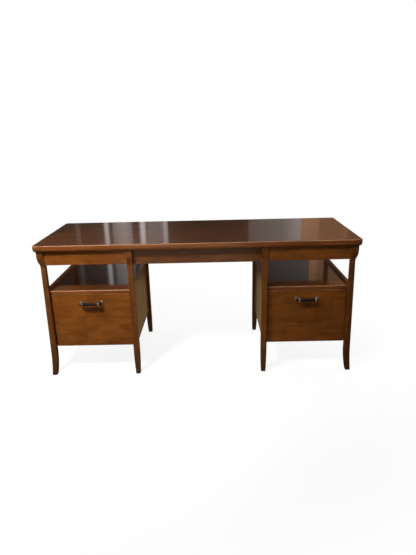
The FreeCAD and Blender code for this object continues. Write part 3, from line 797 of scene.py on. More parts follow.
@dataclass
class SabreLeg:
    """One sabre leg: corbelled tops on its show faces, a slim taper, and a foot that sweeps outward.

    Its sizes are in millimetres, each measured from the plain face that looks into the pedestal.
    """

    node: str
    knee_height: float = 140.0
    ear: float = 36.0
    shaft: float = 25.0
    knee: float = 31.0
    toe: float = 38.0
    heel: float = 12.0
    corbel_drop: float = 86.0
    corbel_round: float = 105.0
    corbel_cove: float = 53.0
    inner_width: float = 31.4
    inner_knee: float = 31.5
    inner_toe: float = 29.0
    inner_heel: float = 5.0
    edge_round: float = 2.0
    edge_steps: int = 3
    foot_ease: float = 1.0
    ease_steps: int = 2
    foot_parts: int = 10
    shaft_parts: int = 4
    # Only the lower ones of the corbel's parts are curved
    corbel_parts: int = 21
    curved_parts: int = 16
    top: float = field(init=False)
    inner: bool = field(init=False)

    def __post_init__(self) -> None:
        """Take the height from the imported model, and tell a leg beside the kneehole from a corner leg."""
        self.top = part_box(self.node)[1].z / MM
        self.inner = "inner" in self.node

    def sweep(self, height: float, knee: float, lean: float, toe: float) -> float:
        """Place of a sabre curve that leaves the knee along the shaft and ends at the floor.

        Args:
            height: Height on the leg, from the floor to the knee.
            knee: Place of the face at the knee.
            lean: Outward step of the shaft for each millimetre down.
            toe: Place of the face at the floor.

        Returns:
            Distance of the face from the leg's plain face.
        """
        down = (self.knee_height - height) / self.knee_height
        along = lean * self.knee_height
        return knee + along * down + (toe - knee - along) * down * down

    def corbel(self, height: float) -> float:
        """Place of a corbelled show face: straight, round, cove, tapered shaft and sabre foot.

        Args:
            height: Height on the leg.

        Returns:
            Distance of the face from the leg's plain face.
        """
        shaft_top = self.top - self.corbel_drop
        lean = (self.knee - self.shaft) / (shaft_top - self.knee_height)
        taper = math.atan(lean)
        step = self.ear - self.shaft + self.corbel_cove * (1.0 - math.cos(taper))
        turn = math.acos(1.0 - step / (self.corbel_round + self.corbel_cove))
        cove_top = shaft_top + self.corbel_cove * (math.sin(turn) + math.sin(taper))
        spring = cove_top + self.corbel_round * math.sin(turn)
        if height >= spring:
            return self.ear
        if height >= cove_top:
            return self.ear - self.corbel_round + math.sqrt(self.corbel_round**2 - (spring - height) ** 2)
        if height >= shaft_top:
            centre_x = self.shaft + self.corbel_cove * math.cos(taper)
            centre_z = shaft_top + self.corbel_cove * math.sin(taper)
            return centre_x - math.sqrt(self.corbel_cove**2 - (height - centre_z) ** 2)
        if height >= self.knee_height:
            return self.shaft + lean * (shaft_top - height)
        return self.sweep(height, self.knee, lean, self.toe)

    def kneehole_side(self, height: float) -> float:
        """Place of an inner leg's kneehole face: a plain taper down to its foot.

        Args:
            height: Height on the leg.

        Returns:
            Distance of the face from the leg's plain face.
        """
        lean = (self.inner_knee - self.inner_width) / (self.top - self.knee_height)
        if height >= self.knee_height:
            return self.inner_width + lean * (self.top - height)
        return self.sweep(height, self.inner_knee, lean, self.inner_toe)

    def plain_side(self, height: float, heel: float) -> float:
        """Place of a plain face, which is upright down to the knee and then follows the foot.

        Args:
            height: Height on the leg.
            heel: Place of the face at the floor.

        Returns:
            Distance of the face from the upright plain face.
        """
        return 0.0 if height >= self.knee_height else self.sweep(height, 0.0, 0.0, heel)

    def stations(self) -> list[float]:
        """Heights where the outline is taken: close in the corbel and the foot, wide on the shaft.

        Returns:
            Heights between the foot and the top.
        """
        shaft_top = self.top - self.corbel_drop
        shaft_drop = shaft_top - self.knee_height
        foot = even_steps(self.knee_height, self.foot_parts)[1:-1]
        shaft = [self.knee_height + rise for rise in even_steps(shaft_drop, self.shaft_parts)[:-1]]
        corbel = [shaft_top + rise for rise in even_steps(self.corbel_drop, self.corbel_parts)]
        return foot + shaft + corbel[:self.curved_parts]

    def build(self) -> bpy.types.Object:
        """Model the leg and give it its finish.

        Returns:
            The leg.
        """
        shape = new_block(Vector((-0.5, -0.5, 0.0)), Vector((0.5, 0.5, self.top)))
        for height in self.stations():
            bmesh.ops.bisect_plane(
                shape, geom=whole_of(shape.faces[:]), plane_co=(0.0, 0.0, height), plane_no=UP,
            )
        self.shape_outline(shape)
        bmesh.ops.scale(shape, vec=(MM, MM, MM), verts=shape.verts[:])
        round_over(shape, rising_edges(shape), self.edge_round * MM, self.edge_steps)
        round_over(shape, level_edges(shape, 0.0), self.foot_ease * MM, self.ease_steps)
        wood = LEG_WALNUT.material(Grain.UPRIGHT)
        return finish_mesh(f"sabre_{self.node}", shape, wood, "desk_frame", [self.node])

    def shape_outline(self, shape: bmesh.types.BMesh) -> None:
        """Move the corners of a plain stick, cut at the stations, out to the leg's four faces.

        Args:
            shape: The stick, in millimetres; its positive sides become the show faces.
        """
        low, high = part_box(self.node)
        side, depth = math.copysign(1.0, low.x), math.copysign(1.0, low.y)
        across = sorted((abs(low.x) / MM, abs(high.x) / MM))
        plain_x = across[1] if self.inner else across[0]
        plain_y = min(abs(low.y), abs(high.y)) / MM
        for vert in shape.verts:
            height = vert.co.z
            if vert.co.x > 0.0:
                out_x = self.kneehole_side(height) if self.inner else self.corbel(height)
            else:
                out_x = self.plain_side(height, self.inner_heel if self.inner else self.heel)
            out_y = self.corbel(height) if vert.co.y > 0.0 else self.plain_side(height, self.heel)
            vert.co.x = side * (plain_x - out_x if self.inner else plain_x + out_x)
            vert.co.y = depth * (plain_y + out_y)


@dataclass
class BarPull:
    """Bar pull of a file drawer: bent rod, turned grip, two collars, two rosettes and two screws.

    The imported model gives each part's place and outer size. The sizes here are those of the turning.
    """

    hand: str
    bend: float = 8.0 * MM
    bend_steps: int = 8
    round_sides: int = 28
    bead_width: float = 4.0 * MM
    bead_sink: float = 1.3 * MM
    bead_steps: int = 6
    waist: float = 1.2 * MM
    waist_steps: int = 5
    rim_sink: float = 3.2 * MM
    rim_steps: int = 10
    rosette_lip: float = 1.2 * MM
    rosette_step: float = 2.4 * MM
    # How far the rosette's cove runs from its step towards the rod
    cove_share: float = 0.6
    lip_steps: int = 5
    screw_radius: float = 4.6 * MM
    screw_head: float = 2.6 * MM
    screw_ease: float = 1.0 * MM
    ease_steps: int = 4
    screw_slot: float = 1.1 * MM
    screw_turn: float = 0.6
    body: str = field(init=False)
    middle: Vector = field(init=False)
    bore: float = field(init=False)
    feet: tuple[Vector, Vector] = field(init=False)

    def __post_init__(self) -> None:
        """Take the place of the bar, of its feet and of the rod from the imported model."""
        self.body = f"{self.hand}_file_drawer"
        low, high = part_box(f"{self.hand}_pull_grip")
        self.middle = (low + high) / 2.0
        rod_low, rod_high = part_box(f"{self.hand}_pull_rod")
        self.bore = (rod_high.z - rod_low.z) / 2.0
        root_y = rod_high.y
        self.feet = (
            Vector((rod_low.x + self.bore, root_y, self.middle.z)),
            Vector((rod_high.x - self.bore, root_y, self.middle.z)),
        )

    def build(self) -> list[bpy.types.Object]:
        """Model the pull's parts and give them their finishes.

        Returns:
            The five pieces of the pull.
        """
        return [self.rod(), self.grip(), self.collars(), self.rosettes(), self.screws()]

    def rod(self) -> bpy.types.Object:
        """Bend the rod: out of the front, round, along the bar, round and back in.

        Returns:
            The rod.
        """
        first, last = self.feet
        bend_y = self.middle.y + self.bend
        shape = bmesh.new()
        place = Matrix.Translation(first) @ Matrix.Rotation(QUARTER_TURN, 4, "X")
        bmesh.ops.create_circle(shape, segments=self.round_sides, radius=self.bore, matrix=place)
        ring = self.draw_out(shape, shape.edges[:], Vector((0.0, bend_y - first.y, 0.0)))
        ring = self.bend_round(shape, ring, Vector((first.x + self.bend, bend_y, first.z)))
        ring = self.draw_out(shape, ring, Vector((last.x - first.x - 2.0 * self.bend, 0.0, 0.0)))
        ring = self.bend_round(shape, ring, Vector((last.x - self.bend, bend_y, last.z)))
        self.draw_out(shape, ring, Vector((0.0, last.y - bend_y, 0.0)))
        ends = [edge for edge in shape.edges if edge.is_boundary]
        bmesh.ops.holes_fill(shape, edges=ends, sides=0)
        return finish_mesh(
            f"{self.hand}_bent_pull_rod", shape, DARK_ROD_METAL.material(), self.body,
            [f"{self.hand}_pull_rod"],
        )

    @staticmethod
    def draw_out(
        shape: bmesh.types.BMesh, ring: list[bmesh.types.BMEdge], way: Vector,
    ) -> list[bmesh.types.BMEdge]:
        """Draw the rod's end out in a straight length.

        Args:
            shape: The rod so far.
            ring: Edges of its open end.
            way: Direction and length of the new part.

        Returns:
            Edges of the new open end.
        """
        drawn = bmesh.ops.extrude_edge_only(shape, edges=ring)["geom"]
        bmesh.ops.translate(shape, vec=way, verts=verts_of(drawn))
        return edges_of(drawn)

    def bend_round(
        self, shape: bmesh.types.BMesh, ring: list[bmesh.types.BMEdge], centre: Vector,
    ) -> list[bmesh.types.BMEdge]:
        """Bend the rod's end a quarter turn towards the right.

        Args:
            shape: The rod so far.
            ring: Edges of its open end.
            centre: Centre of the bend.

        Returns:
            Edges of the new open end.
        """
        bent = bmesh.ops.spin(
            shape, geom=ring, cent=centre, axis=UP, dvec=(0.0, 0.0, 0.0), angle=QUARTER_TURN,
            steps=self.bend_steps,
        )["geom_last"]
        return edges_of(bent)

    def grip(self) -> bpy.types.Object:
        """Turn the grip, a slim barrel with a bead at each end.

        Returns:
            The grip.
        """
        low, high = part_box(f"{self.hand}_pull_grip")
        half, radius = (high.x - low.x) / 2.0, (high.z - low.z) / 2.0
        bead = [
            (
                half - self.bead_width * (1.0 - math.cos(angle)) / 2.0,
                radius - self.bead_sink * (1.0 - math.sin(angle)),
            )
            for angle in even_steps(math.pi, self.bead_steps)
        ]
        barrel = [
            (share * (half - self.bead_width), radius - self.waist * share**2)
            for share in (1.0 - step for step in even_steps(1.0, self.waist_steps))
        ]
        right = [(half, self.bore)] + bead + barrel[1:]
        profile = right + [(-along, out) for along, out in reversed(right[:-1])]
        shape = bmesh.new()
        turn_profile(shape, profile, self.middle, RIGHT)
        wood = EBONISED_BEECH.material(Grain.ALONG_WIDTH)
        return finish_mesh(
            f"{self.hand}_turned_grip", shape, wood, self.body, [f"{self.hand}_pull_grip"],
        )

    def collars(self) -> bpy.types.Object:
        """Turn the two collars, each with a full round rim.

        Returns:
            Both collars.
        """
        low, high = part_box(f"{self.hand}_pull_collars")
        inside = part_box(f"{self.hand}_pull_grip")[1].x - self.middle.x
        outside, radius = high.x - self.middle.x, (high.z - low.z) / 2.0
        rim = [
            (
                (inside + outside) / 2.0 - (outside - inside) / 2.0 * math.cos(angle),
                radius - self.rim_sink * (1.0 - math.sin(angle)),
            )
            for angle in even_steps(math.pi, self.rim_steps)
        ]
        profile = [(inside, self.bore)] + rim + [(outside, self.bore)]
        shape = bmesh.new()
        for way in (-1.0, 1.0):
            turn_profile(shape, profile, self.middle, Vector((way, 0.0, 0.0)))
        return finish_mesh(
            f"{self.hand}_turned_collars", shape, BUFFED_PEWTER.material(), self.body,
            [f"{self.hand}_pull_collars"],
        )

    def rosettes(self) -> bpy.types.Object:
        """Turn the two rosettes, each with a round lip and a cove up to the rod.

        Returns:
            Both rosettes.
        """
        low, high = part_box(f"{self.hand}_pull_rosettes")
        height, radius = high.y - low.y, (high.z - low.z) / 2.0
        quarter = even_steps(QUARTER_TURN, self.lip_steps)
        lip = [
            (
                self.rosette_lip * (1.0 + math.sin(angle)) / 2.0,
                radius - self.rosette_lip * (1.0 - math.cos(angle)),
            )
            for angle in quarter
        ]
        neck = radius - self.rosette_step
        cove = [
            (
                height - (height - self.rosette_lip) * math.cos(angle),
                neck - (neck - self.bore) * self.cove_share * math.sin(angle),
            )
            for angle in quarter
        ]
        profile = [(0.0, self.bore), (0.0, radius)] + lip + cove + [(height, self.bore)]
        shape = bmesh.new()
        for foot in self.feet:
            seat = Vector((foot.x, high.y, foot.z))
            turn_profile(shape, profile, seat, FORWARD)
        return finish_mesh(
            f"{self.hand}_turned_rosettes", shape, BUFFED_PEWTER.material(), self.body,
            [f"{self.hand}_pull_rosettes"],
        )

    def screws(self) -> bpy.types.Object:
        """Model the two slotted screw heads behind the drawer front that hold the pull.

        Returns:
            Both screw heads.
        """
        back_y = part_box(f"{self.hand}_file_drawer_front")[1].y
        shape = bmesh.new()
        for foot, way in zip(self.feet, (-1.0, 1.0)):
            seat = Matrix.Translation((foot.x, back_y, foot.z)) @ Matrix.Rotation(-QUARTER_TURN, 4, "X")
            turned = seat @ Matrix.Rotation(way * self.screw_turn, 4, "Z")
            made = bmesh.ops.create_cone(
                shape, cap_ends=True, segments=self.round_sides, radius1=self.screw_radius,
                radius2=self.screw_radius, depth=self.screw_head,
                matrix=Matrix.Translation((0.0, 0.0, self.screw_head / 2.0)),
            )["verts"]
            rim = [edge for edge in level_edges(shape, self.screw_head) if edge.verts[0] in made]
            round_over(shape, rim, self.screw_ease, self.ease_steps)
            self.cut_slot(shape)
            head = [vert for vert in shape.verts if vert.co.length < 2.0 * self.screw_radius]
            bmesh.ops.transform(shape, matrix=turned, verts=head)
        return finish_mesh(f"{self.hand}_pull_screws", shape, PLATED_STEEL.material(), self.body)

    def cut_slot(self, shape: bmesh.types.BMesh) -> None:
        """Cut the driver's slot across a screw head that still lies at the origin.

        Args:
            shape: Shape that holds the screw head.
        """
        def crown() -> list[bmesh.types.BMFace]:
            """Faces of the head's flat crown."""
            return [
                face for face in shape.faces
                if abs(face.calc_center_median().z - self.screw_head) < NEAR
                and face.calc_center_median().to_2d().length < self.screw_radius
            ]

        half = self.screw_slot / 2.0
        for offset in (-half, half):
            bmesh.ops.bisect_plane(
                shape, geom=whole_of(crown()), plane_co=(offset, 0.0, 0.0), plane_no=RIGHT,
            )
        slot = [face for face in crown() if abs(face.calc_center_median().x) < half]
        push_in(shape, slot, Vector((0.0, 0.0, -self.screw_head / 2.0)))


@dataclass
class DrawerLock:
    """Round rim of the lock in the pencil drawer's front, with a bead round the plug."""

    plug_gap: float = 0.2 * MM
    rim_width: float = 4.0 * MM
    rim_fall: float = 2.0 * MM
    bead_height: float = 0.3 * MM
    bead_width: float = 1.6 * MM
    round_steps: int = 6
    sink: float = 0.1 * MM

    def build(self) -> bpy.types.Object:
        """Turn the rim over the lock's own and give it its finish.

        Returns:
            The rim.
        """
        plug_low, plug_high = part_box("lock_plug")
        face_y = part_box("pencil_drawer_front")[0].y
        middle = Vector((0.0, face_y, (plug_low.z + plug_high.z) / 2.0))
        height = face_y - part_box("lock_case")[0].y
        bore = (plug_high.x - plug_low.x) / 2.0 + self.plug_gap
        radius = bore + self.rim_width
        dome = [
            (height * math.sin(angle), radius - self.rim_fall * (1.0 - math.cos(angle)))
            for angle in even_steps(QUARTER_TURN, self.round_steps)
        ]
        bead = [
            (
                height + self.bead_height * math.sin(angle),
                bore + self.bead_width * (1.0 + math.cos(angle)) / 2.0,
            )
            for angle in even_steps(math.pi, self.round_steps)
        ]
        profile = [(-self.sink, bore), (-self.sink, radius)] + dome + bead
        shape = bmesh.new()
        turn_profile(shape, profile, middle, FORWARD)
        return finish_mesh("lock_rim", shape, DULLED_BRASS.material(), "pencil_drawer")


@dataclass
class Boards:
    """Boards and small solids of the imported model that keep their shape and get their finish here."""

    level: tuple[str, ...] = ("front_apron", "rear_apron", "file_drawer_front", "pedestal_bottom")
    deep: tuple[str, ...] = ("end_apron", "cross_rail")
    upright: tuple[str, ...] = ("pedestal_outer_side", "pedestal_inner_side", "pedestal_back")
    polished: tuple[str, ...] = ("pedestal_shelf",)
    inside_level: tuple[str, ...] = ("file_drawer_back",)
    inside_deep: tuple[str, ...] = (
        "file_drawer_inner_side", "file_drawer_outer_side", "file_drawer_bottom",
    )

    def finishes(self) -> dict[str, bpy.types.Material]:
        """Choose the finish of every node that stays.

        Returns:
            Material of each node by its name.
        """
        chosen = {
            "rear_center_apron": SATIN_WALNUT.material(Grain.ALONG_WIDTH),
            "pencil_drawer_front": SHADED_WALNUT.material(Grain.ALONG_WIDTH),
            "pencil_drawer_back": SEALED_MAPLE.material(Grain.ALONG_WIDTH),
            "glue_blocks": SEALED_MAPLE.material(Grain.ALONG_WIDTH),
            "pencil_drawer_left_side": SEALED_MAPLE.material(Grain.ALONG_DEPTH),
            "pencil_drawer_right_side": SEALED_MAPLE.material(Grain.ALONG_DEPTH),
            "pencil_drawer_bottom": SEALED_MAPLE.material(Grain.ALONG_WIDTH),
            "file_drawer_runners": SEALED_MAPLE.material(Grain.ALONG_DEPTH),
            "pencil_drawer_runners": SEALED_MAPLE.material(Grain.ALONG_DEPTH),
            "lock_case": DULLED_BRASS.material(),
            "lock_plug": DULLED_BRASS.material(),
            "lock_bolt": PLATED_STEEL.material(),
        }
        groups = (
            (self.level, SATIN_WALNUT, Grain.ALONG_WIDTH),
            (self.deep, SATIN_WALNUT, Grain.ALONG_DEPTH),
            (self.upright, SATIN_WALNUT, Grain.UPRIGHT),
            (self.polished, POLISHED_WALNUT, Grain.ALONG_WIDTH),
            (self.inside_level, SEALED_MAPLE, Grain.ALONG_WIDTH),
            (self.inside_deep, SEALED_MAPLE, Grain.ALONG_DEPTH),
        )
        for names, wood, grain in groups:
            for name in names:
                for hand in HANDS:
                    chosen[f"{hand}_{name}"] = wood.material(grain)
        return chosen

    def build(self) -> None:
        """Give each node that stays its finish."""
        for node, material in self.finishes().items():
            for slot in frame["nodes"][node].material_slots:
                slot.material = material
            LOG.info("node %s in %s", node, material.name)


@dataclass(frozen=True)
class GroundPatch:
    """Patch of paler ground that the lacquer mirrors: its place and size in metres, and its light."""

    middle: tuple[float, float]
    half: tuple[float, float]
    light: Colour


@dataclass(frozen=True)
class MirrorCard:
    """Flat glowing card that only gloss sees: its place, half sizes, lean, light at both sides, and rim.

    The rim is the share of the card, from its edge inward, over which it fades out.
    """

    name: str
    middle: tuple[float, float, float]
    half: tuple[float, float]
    lean: float
    left_light: Colour
    right_light: Colour
    rim: float


@dataclass(frozen=True)
class SoftLamp:
    """Square soft box: its place and the point it faces, its side in metres, watts, and its beam in degrees.

    A grid on the box narrows the beam. The cards stand in for it in what the lacquer mirrors.
    """

    name: str
    place: tuple[float, float, float]
    aim: tuple[float, float, float]
    side: float
    power: float
    beam: float = 180.0

    def build(self) -> bpy.types.Object:
        """Hang the lamp.

        Returns:
            The lamp.
        """
        light = bpy.data.lights.new(self.name, "AREA")
        light.shape = "SQUARE"
        light.size = self.side
        light.energy = self.power
        light.spread = math.radians(self.beam)
        lamp = bpy.data.objects.new(self.name, light)
        lamp.location = self.place
        way = Vector(self.aim) - Vector(self.place)
        lamp.rotation_euler = way.to_track_quat("-Z", "Y").to_euler()
        lamp.visible_camera = False
        lamp.visible_glossy = False
        bpy.context.scene.collection.objects.link(lamp)
        LOG.info("lamp %s", self.name)
        return lamp


@dataclass
class Studio:
    """White floor and soft light, with glowing cards round the desk that only its gloss sees, for its
    reflections.
    """

    floor_half: float = 9.0
    floor_grey: float = 0.24
    floor_glow: float = 0.86
    # Distances from the desk's middle where its shadow begins to fade and where the floor is plain white
    shadow_reach: tuple[float, float] = (1.05, 1.75)
    ambient: float = 0.145
    ambient_tint: Colour = (1.0, 0.985, 0.96, 1.0)
    card_radius: float = 3.6
    card_sides: int = 64
    card_height: float = 7.0
    card_lift: float = 1.0 * MM
    # How far the bands reach to each side of the middle
    card_span: float = 1.9
    # Heights between which the mirrored ground gives way to the walls of the ring
    wall_foot: tuple[float, float] = (0.05, 0.25)
    # Height where the bands begin to fade and where they are white
    card_fade: tuple[float, float] = (2.4, 6.5)
    # Distance from the middle where the bands begin to give way to the plain sides, and where they have
    side_fade: tuple[float, float] = (2.3, 3.2)
    side_light: float = 0.30
    # Glowing cards that gloss alone sees: a dim slate one low behind the right shelf, for its reflection, and
    # a bright one over the front that the pulls glint with
    flat_cards: tuple[MirrorCard, ...] = (
        MirrorCard(
            "shelf_flag", middle=(0.58, 0.55, 0.62), half=(0.19, 0.12), lean=90.0,
            left_light=(0.045, 0.055, 0.060, 1.0), right_light=(0.11, 0.125, 0.13, 1.0), rim=0.05,
        ),
        MirrorCard(
            "glint_card", middle=(-0.60, -1.40, 2.00), half=(1.10, 0.55), lean=30.0,
            left_light=(6.8, 6.5, 6.1, 1.0), right_light=(2.8, 2.7, 2.6, 1.0), rim=0.7,
        ),
    )
    # Place across the ring, from left to right, and its light there: strips and panels for lacquer to mirror
    card_stops: tuple[tuple[float, float], ...] = (
        (0.058, 0.03), (0.062, 0.13), (0.070, 0.13), (0.074, 0.03), (0.146, 0.03), (0.150, 0.85),
        (0.159, 0.85), (0.163, 0.03), (0.172, 0.03), (0.176, 0.28), (0.212, 0.46), (0.236, 0.34),
        (0.240, 0.01), (0.264, 0.01), (0.267, 0.95), (0.281, 0.95), (0.284, 0.10), (0.296, 0.24),
        (0.344, 0.24), (0.348, 0.65), (0.359, 0.65), (0.363, 0.02), (0.650, 0.02), (0.654, 0.15),
        (0.770, 0.22), (0.827, 0.46), (0.831, 0.50), (0.884, 0.46), (0.888, 0.29), (0.960, 0.28),
        (0.964, 0.42), (0.976, 0.20),
    )
    # Tint of the grey card, and of the warm one that stands from this place on
    card_tint: tuple[float, float, float] = (1.0, 0.98, 0.95)
    warm_tint: tuple[float, float, float] = (1.0, 0.52, 0.28)
    warm_from: float = 0.829
    lamps: tuple[SoftLamp, ...] = (
        SoftLamp(
            "left_key_lamp", place=(-0.98, -1.32, 2.06), aim=(-0.60, -0.26, 0.16), side=0.32, power=10.0,
            beam=80.0,
        ),
        SoftLamp(
            "right_key_lamp", place=(-0.10, -1.32, 2.02), aim=(0.70, -0.28, 0.90), side=0.32, power=1.65,
            beam=66.0,
        ),
        SoftLamp(
            "front_fill_lamp", place=(-0.25, -2.60, 1.00), aim=(-0.05, -0.28, 0.74), side=0.90, power=0.8,
            beam=44.0,
        ),
        SoftLamp("back_fill_lamp", place=(0.9, 2.9, 1.0), aim=(0.27, 0.29, 0.45), side=2.0, power=44.0),
        SoftLamp("right_fill_lamp", place=(2.9, 0.6, 1.1), aim=(0.87, 0.06, 0.45), side=1.6, power=22.0),
        SoftLamp("left_fill_lamp", place=(-2.9, 0.8, 1.1), aim=(-0.87, 0.08, 0.45), side=1.6, power=20.0),
    )
    # Ground that gloss sees: pale between the pedestals and far in front, and dark elsewhere, so that the
    # fronts keep their colour
    dark_ground: Colour = (0.04, 0.034, 0.028, 1.0)
    pale_ground: tuple[GroundPatch, ...] = (
        GroundPatch(middle=(0.0, 0.0), half=(0.45, 1.5), light=(0.25, 0.18, 0.09, 1.0)),
        GroundPatch(middle=(-0.25, -2.9), half=(0.75, 0.8), light=(0.55, 0.48, 0.42, 1.0)),
    )
    patch_fade: tuple[float, float] = (0.8, 1.1)

    def build(self) -> None:
        """Set up the floor, the cards, the lamps, the world and the picture's plain colours."""
        self.floor()
        self.cards()
        [self.flat_card(card) for card in self.flat_cards]
        for lamp in self.lamps:
            lamp.build()
        self.world()
        bpy.context.scene.view_settings.view_transform = "Standard"

    @staticmethod
    def seen_white(tree: bpy.types.NodeTree) -> bpy.types.NodeSocket:
        """Tell the rays that see the white background: from the camera, by gloss and through glass.

        Args:
            tree: Node tree of the floor or of the world.

        Returns:
            1 for such a ray, 0 for any other.
        """
        path = add_node(tree, "ShaderNodeLightPath").outputs
        seen = path["Is Camera Ray"]
        for ray in ("Is Glossy Ray", "Is Transmission Ray"):
            seen = add_node(
                tree, "ShaderNodeMath", None, {0: seen, 1: path[ray]}, operation="MAXIMUM",
            ).outputs[0]
        return seen

    def floor(self) -> bpy.types.Object:
        """Lay the white floor, which keeps the desk's shadow near it and fades to plain white.

        Returns:
            The floor.
        """
        shape = bmesh.new()
        bmesh.ops.create_grid(shape, x_segments=1, y_segments=1, size=self.floor_half)
        material, tree, shader = new_material("paper_white_sweep")
        tree.nodes.remove(shader)
        seen = self.seen_white(tree)
        glow_level = add_node(tree, "ShaderNodeMath", {1: self.floor_glow}, {0: seen}, operation="MULTIPLY")
        paper = add_node(tree, "ShaderNodeBsdfDiffuse", {"Color": (*[self.floor_grey] * 3, 1.0)})
        glow = add_node(tree, "ShaderNodeEmission", {"Color": WHITE}, {"Strength": glow_level.outputs[0]})
        near = add_node(tree, "ShaderNodeAddShader", None, {0: paper.outputs[0], 1: glow.outputs[0]})
        far = add_node(tree, "ShaderNodeEmission", {"Color": WHITE}, {"Strength": seen})
        place = add_node(tree, "ShaderNodeTexCoord").outputs["Object"]
        distance = add_node(tree, "ShaderNodeVectorMath", None, {0: place}, operation="LENGTH")
        fade = add_node(
            tree, "ShaderNodeMapRange", dict(zip(RANGE_SOCKETS, self.shadow_reach)),
            {"Value": distance.outputs["Value"]}, interpolation_type="SMOOTHSTEP",
        )
        mixed = add_node(
            tree, "ShaderNodeMixShader", None,
            {0: fade.outputs["Result"], 1: near.outputs[0], 2: far.outputs[0]},
        )
        set_inputs(tree.nodes["Material Output"], None, {"Surface": mixed.outputs[0]})
        return self.stand("floor", shape, material)

    def cards(self) -> bpy.types.Object:
        """Stand a ring of glowing cards round the desk, seen by gloss alone, whose bands give the lacquer its
        reflections.

        Returns:
            The ring of cards.
        """
        shape = bmesh.new()
        bmesh.ops.create_circle(shape, cap_ends=True, segments=self.card_sides, radius=self.card_radius)
        rim = [edge for edge in shape.edges if edge.is_boundary]
        raised = verts_of(bmesh.ops.extrude_edge_only(shape, edges=rim)["geom"])
        bmesh.ops.translate(shape, vec=UP * self.card_height, verts=raised)
        bmesh.ops.translate(shape, vec=UP * self.card_lift, verts=shape.verts[:])
        material, tree, shader = new_material("card_glowing_gloss_only")
        tree.nodes.remove(shader)
        place = add_node(tree, "ShaderNodeTexCoord").outputs["Object"]
        axes = add_node(tree, "ShaderNodeSeparateXYZ", None, {0: place}).outputs
        raised_share = add_node(
            tree, "ShaderNodeMapRange", dict(zip(RANGE_SOCKETS, self.wall_foot)), {"Value": axes["Z"]},
        ).outputs["Result"]
        colour = add_node(
            tree, "ShaderNodeMix", None,
            {MIX_SHARE: raised_share, MIX_FIRST: self.ground(tree, axes), MIX_SECOND: self.walls(tree, axes)},
            data_type="RGBA",
        )
        glow = add_node(tree, "ShaderNodeEmission", None, {"Color": colour.outputs[MIX_RESULT]})
        set_inputs(tree.nodes["Material Output"], None, {"Surface": glow.outputs[0]})
        return self.mirrored_only(self.stand("gloss_cards", shape, material))

    def walls(
        self, tree: bpy.types.NodeTree, axes: Mapping[str, bpy.types.NodeSocket],
    ) -> bpy.types.NodeSocket:
        """Colour the walls of the ring: upright bands, plain at the sides and white high up.

        Args:
            tree: Node tree of the cards.
            axes: The three coordinates of each point.

        Returns:
            Light of the walls.
        """
        across = add_node(
            tree, "ShaderNodeMapRange", dict(zip(RANGE_SOCKETS, (-self.card_span, self.card_span))),
            {"Value": axes["X"]},
        )
        light = add_node(
            tree, "ShaderNodeValToRGB", None, {"Fac": across.outputs["Result"]},
            [(position, self.band_glow(position, level)) for position, level in self.card_stops],
        ).outputs["Color"]
        off_middle = add_node(tree, "ShaderNodeMath", None, {0: axes["X"]}, operation="ABSOLUTE").outputs[0]
        side = (*[self.side_light] * 3, 1.0)
        fades = ((side, self.side_fade, off_middle), (WHITE, self.card_fade, axes["Z"]))
        for plain, reach, distance in fades:
            share = add_node(
                tree, "ShaderNodeMapRange", dict(zip(RANGE_SOCKETS, reach)), {"Value": distance},
            ).outputs["Result"]
            light = add_node(
                tree, "ShaderNodeMix", {MIX_SECOND: plain}, {MIX_SHARE: share, MIX_FIRST: light},
                data_type="RGBA",
            ).outputs[MIX_RESULT]
        return light

    def band_glow(self, position: float, light: float) -> Colour:
        """Colour the glow of a stop of the bands.

        Args:
            position: Place of the stop across the card.
            light: Its brightness.

        Returns:
            Linear colour of the stop.
        """
        tint = self.warm_tint if position > self.warm_from else self.card_tint
        return light * tint[0], light * tint[1], light * tint[2], 1.0

    def flat_card(self, card: MirrorCard) -> bpy.types.Object:
        """Stand a flat card where the gloss of one part of the desk looks at it.

        Args:
            card: Place, size and light of the card.

        Returns:
            The card.
        """
        shape = bmesh.new()
        shape.loops.layers.uv.new("card_map")
        bmesh.ops.create_grid(shape, x_segments=1, y_segments=1, size=1.0, calc_uvs=True)
        bmesh.ops.scale(shape, vec=(*card.half, 1.0), verts=shape.verts[:])
        lean = Matrix.Rotation(math.radians(card.lean), 3, "X")
        bmesh.ops.rotate(shape, matrix=lean, verts=shape.verts[:])
        bmesh.ops.translate(shape, vec=card.middle, verts=shape.verts[:])
        material, tree, shader = new_material(f"card_matt_{card.name}")
        tree.nodes.remove(shader)
        place = add_node(tree, "ShaderNodeTexCoord").outputs["UV"]
        axes = add_node(tree, "ShaderNodeSeparateXYZ", None, {0: place}).outputs
        colour = add_node(
            tree, "ShaderNodeMix", {MIX_FIRST: card.left_light, MIX_SECOND: card.right_light},
            {MIX_SHARE: axes["X"]}, data_type="RGBA",
        )
        glow = add_node(tree, "ShaderNodeEmission", None, {"Color": colour.outputs[MIX_RESULT]})
        clear = add_node(tree, "ShaderNodeBsdfTransparent")
        # The card's map runs from 0 to 1, so that its middle and its half size are the same
        half = (0.5, 0.5)
        share = self.soft_patch(tree, axes, half, half, (1.0 - card.rim, 1.0))
        mixed = add_node(
            tree, "ShaderNodeMixShader", None, {0: share, 1: clear.outputs[0], 2: glow.outputs[0]},
        )
        set_inputs(tree.nodes["Material Output"], None, {"Surface": mixed.outputs[0]})
        return self.mirrored_only(self.stand(card.name, shape, material))

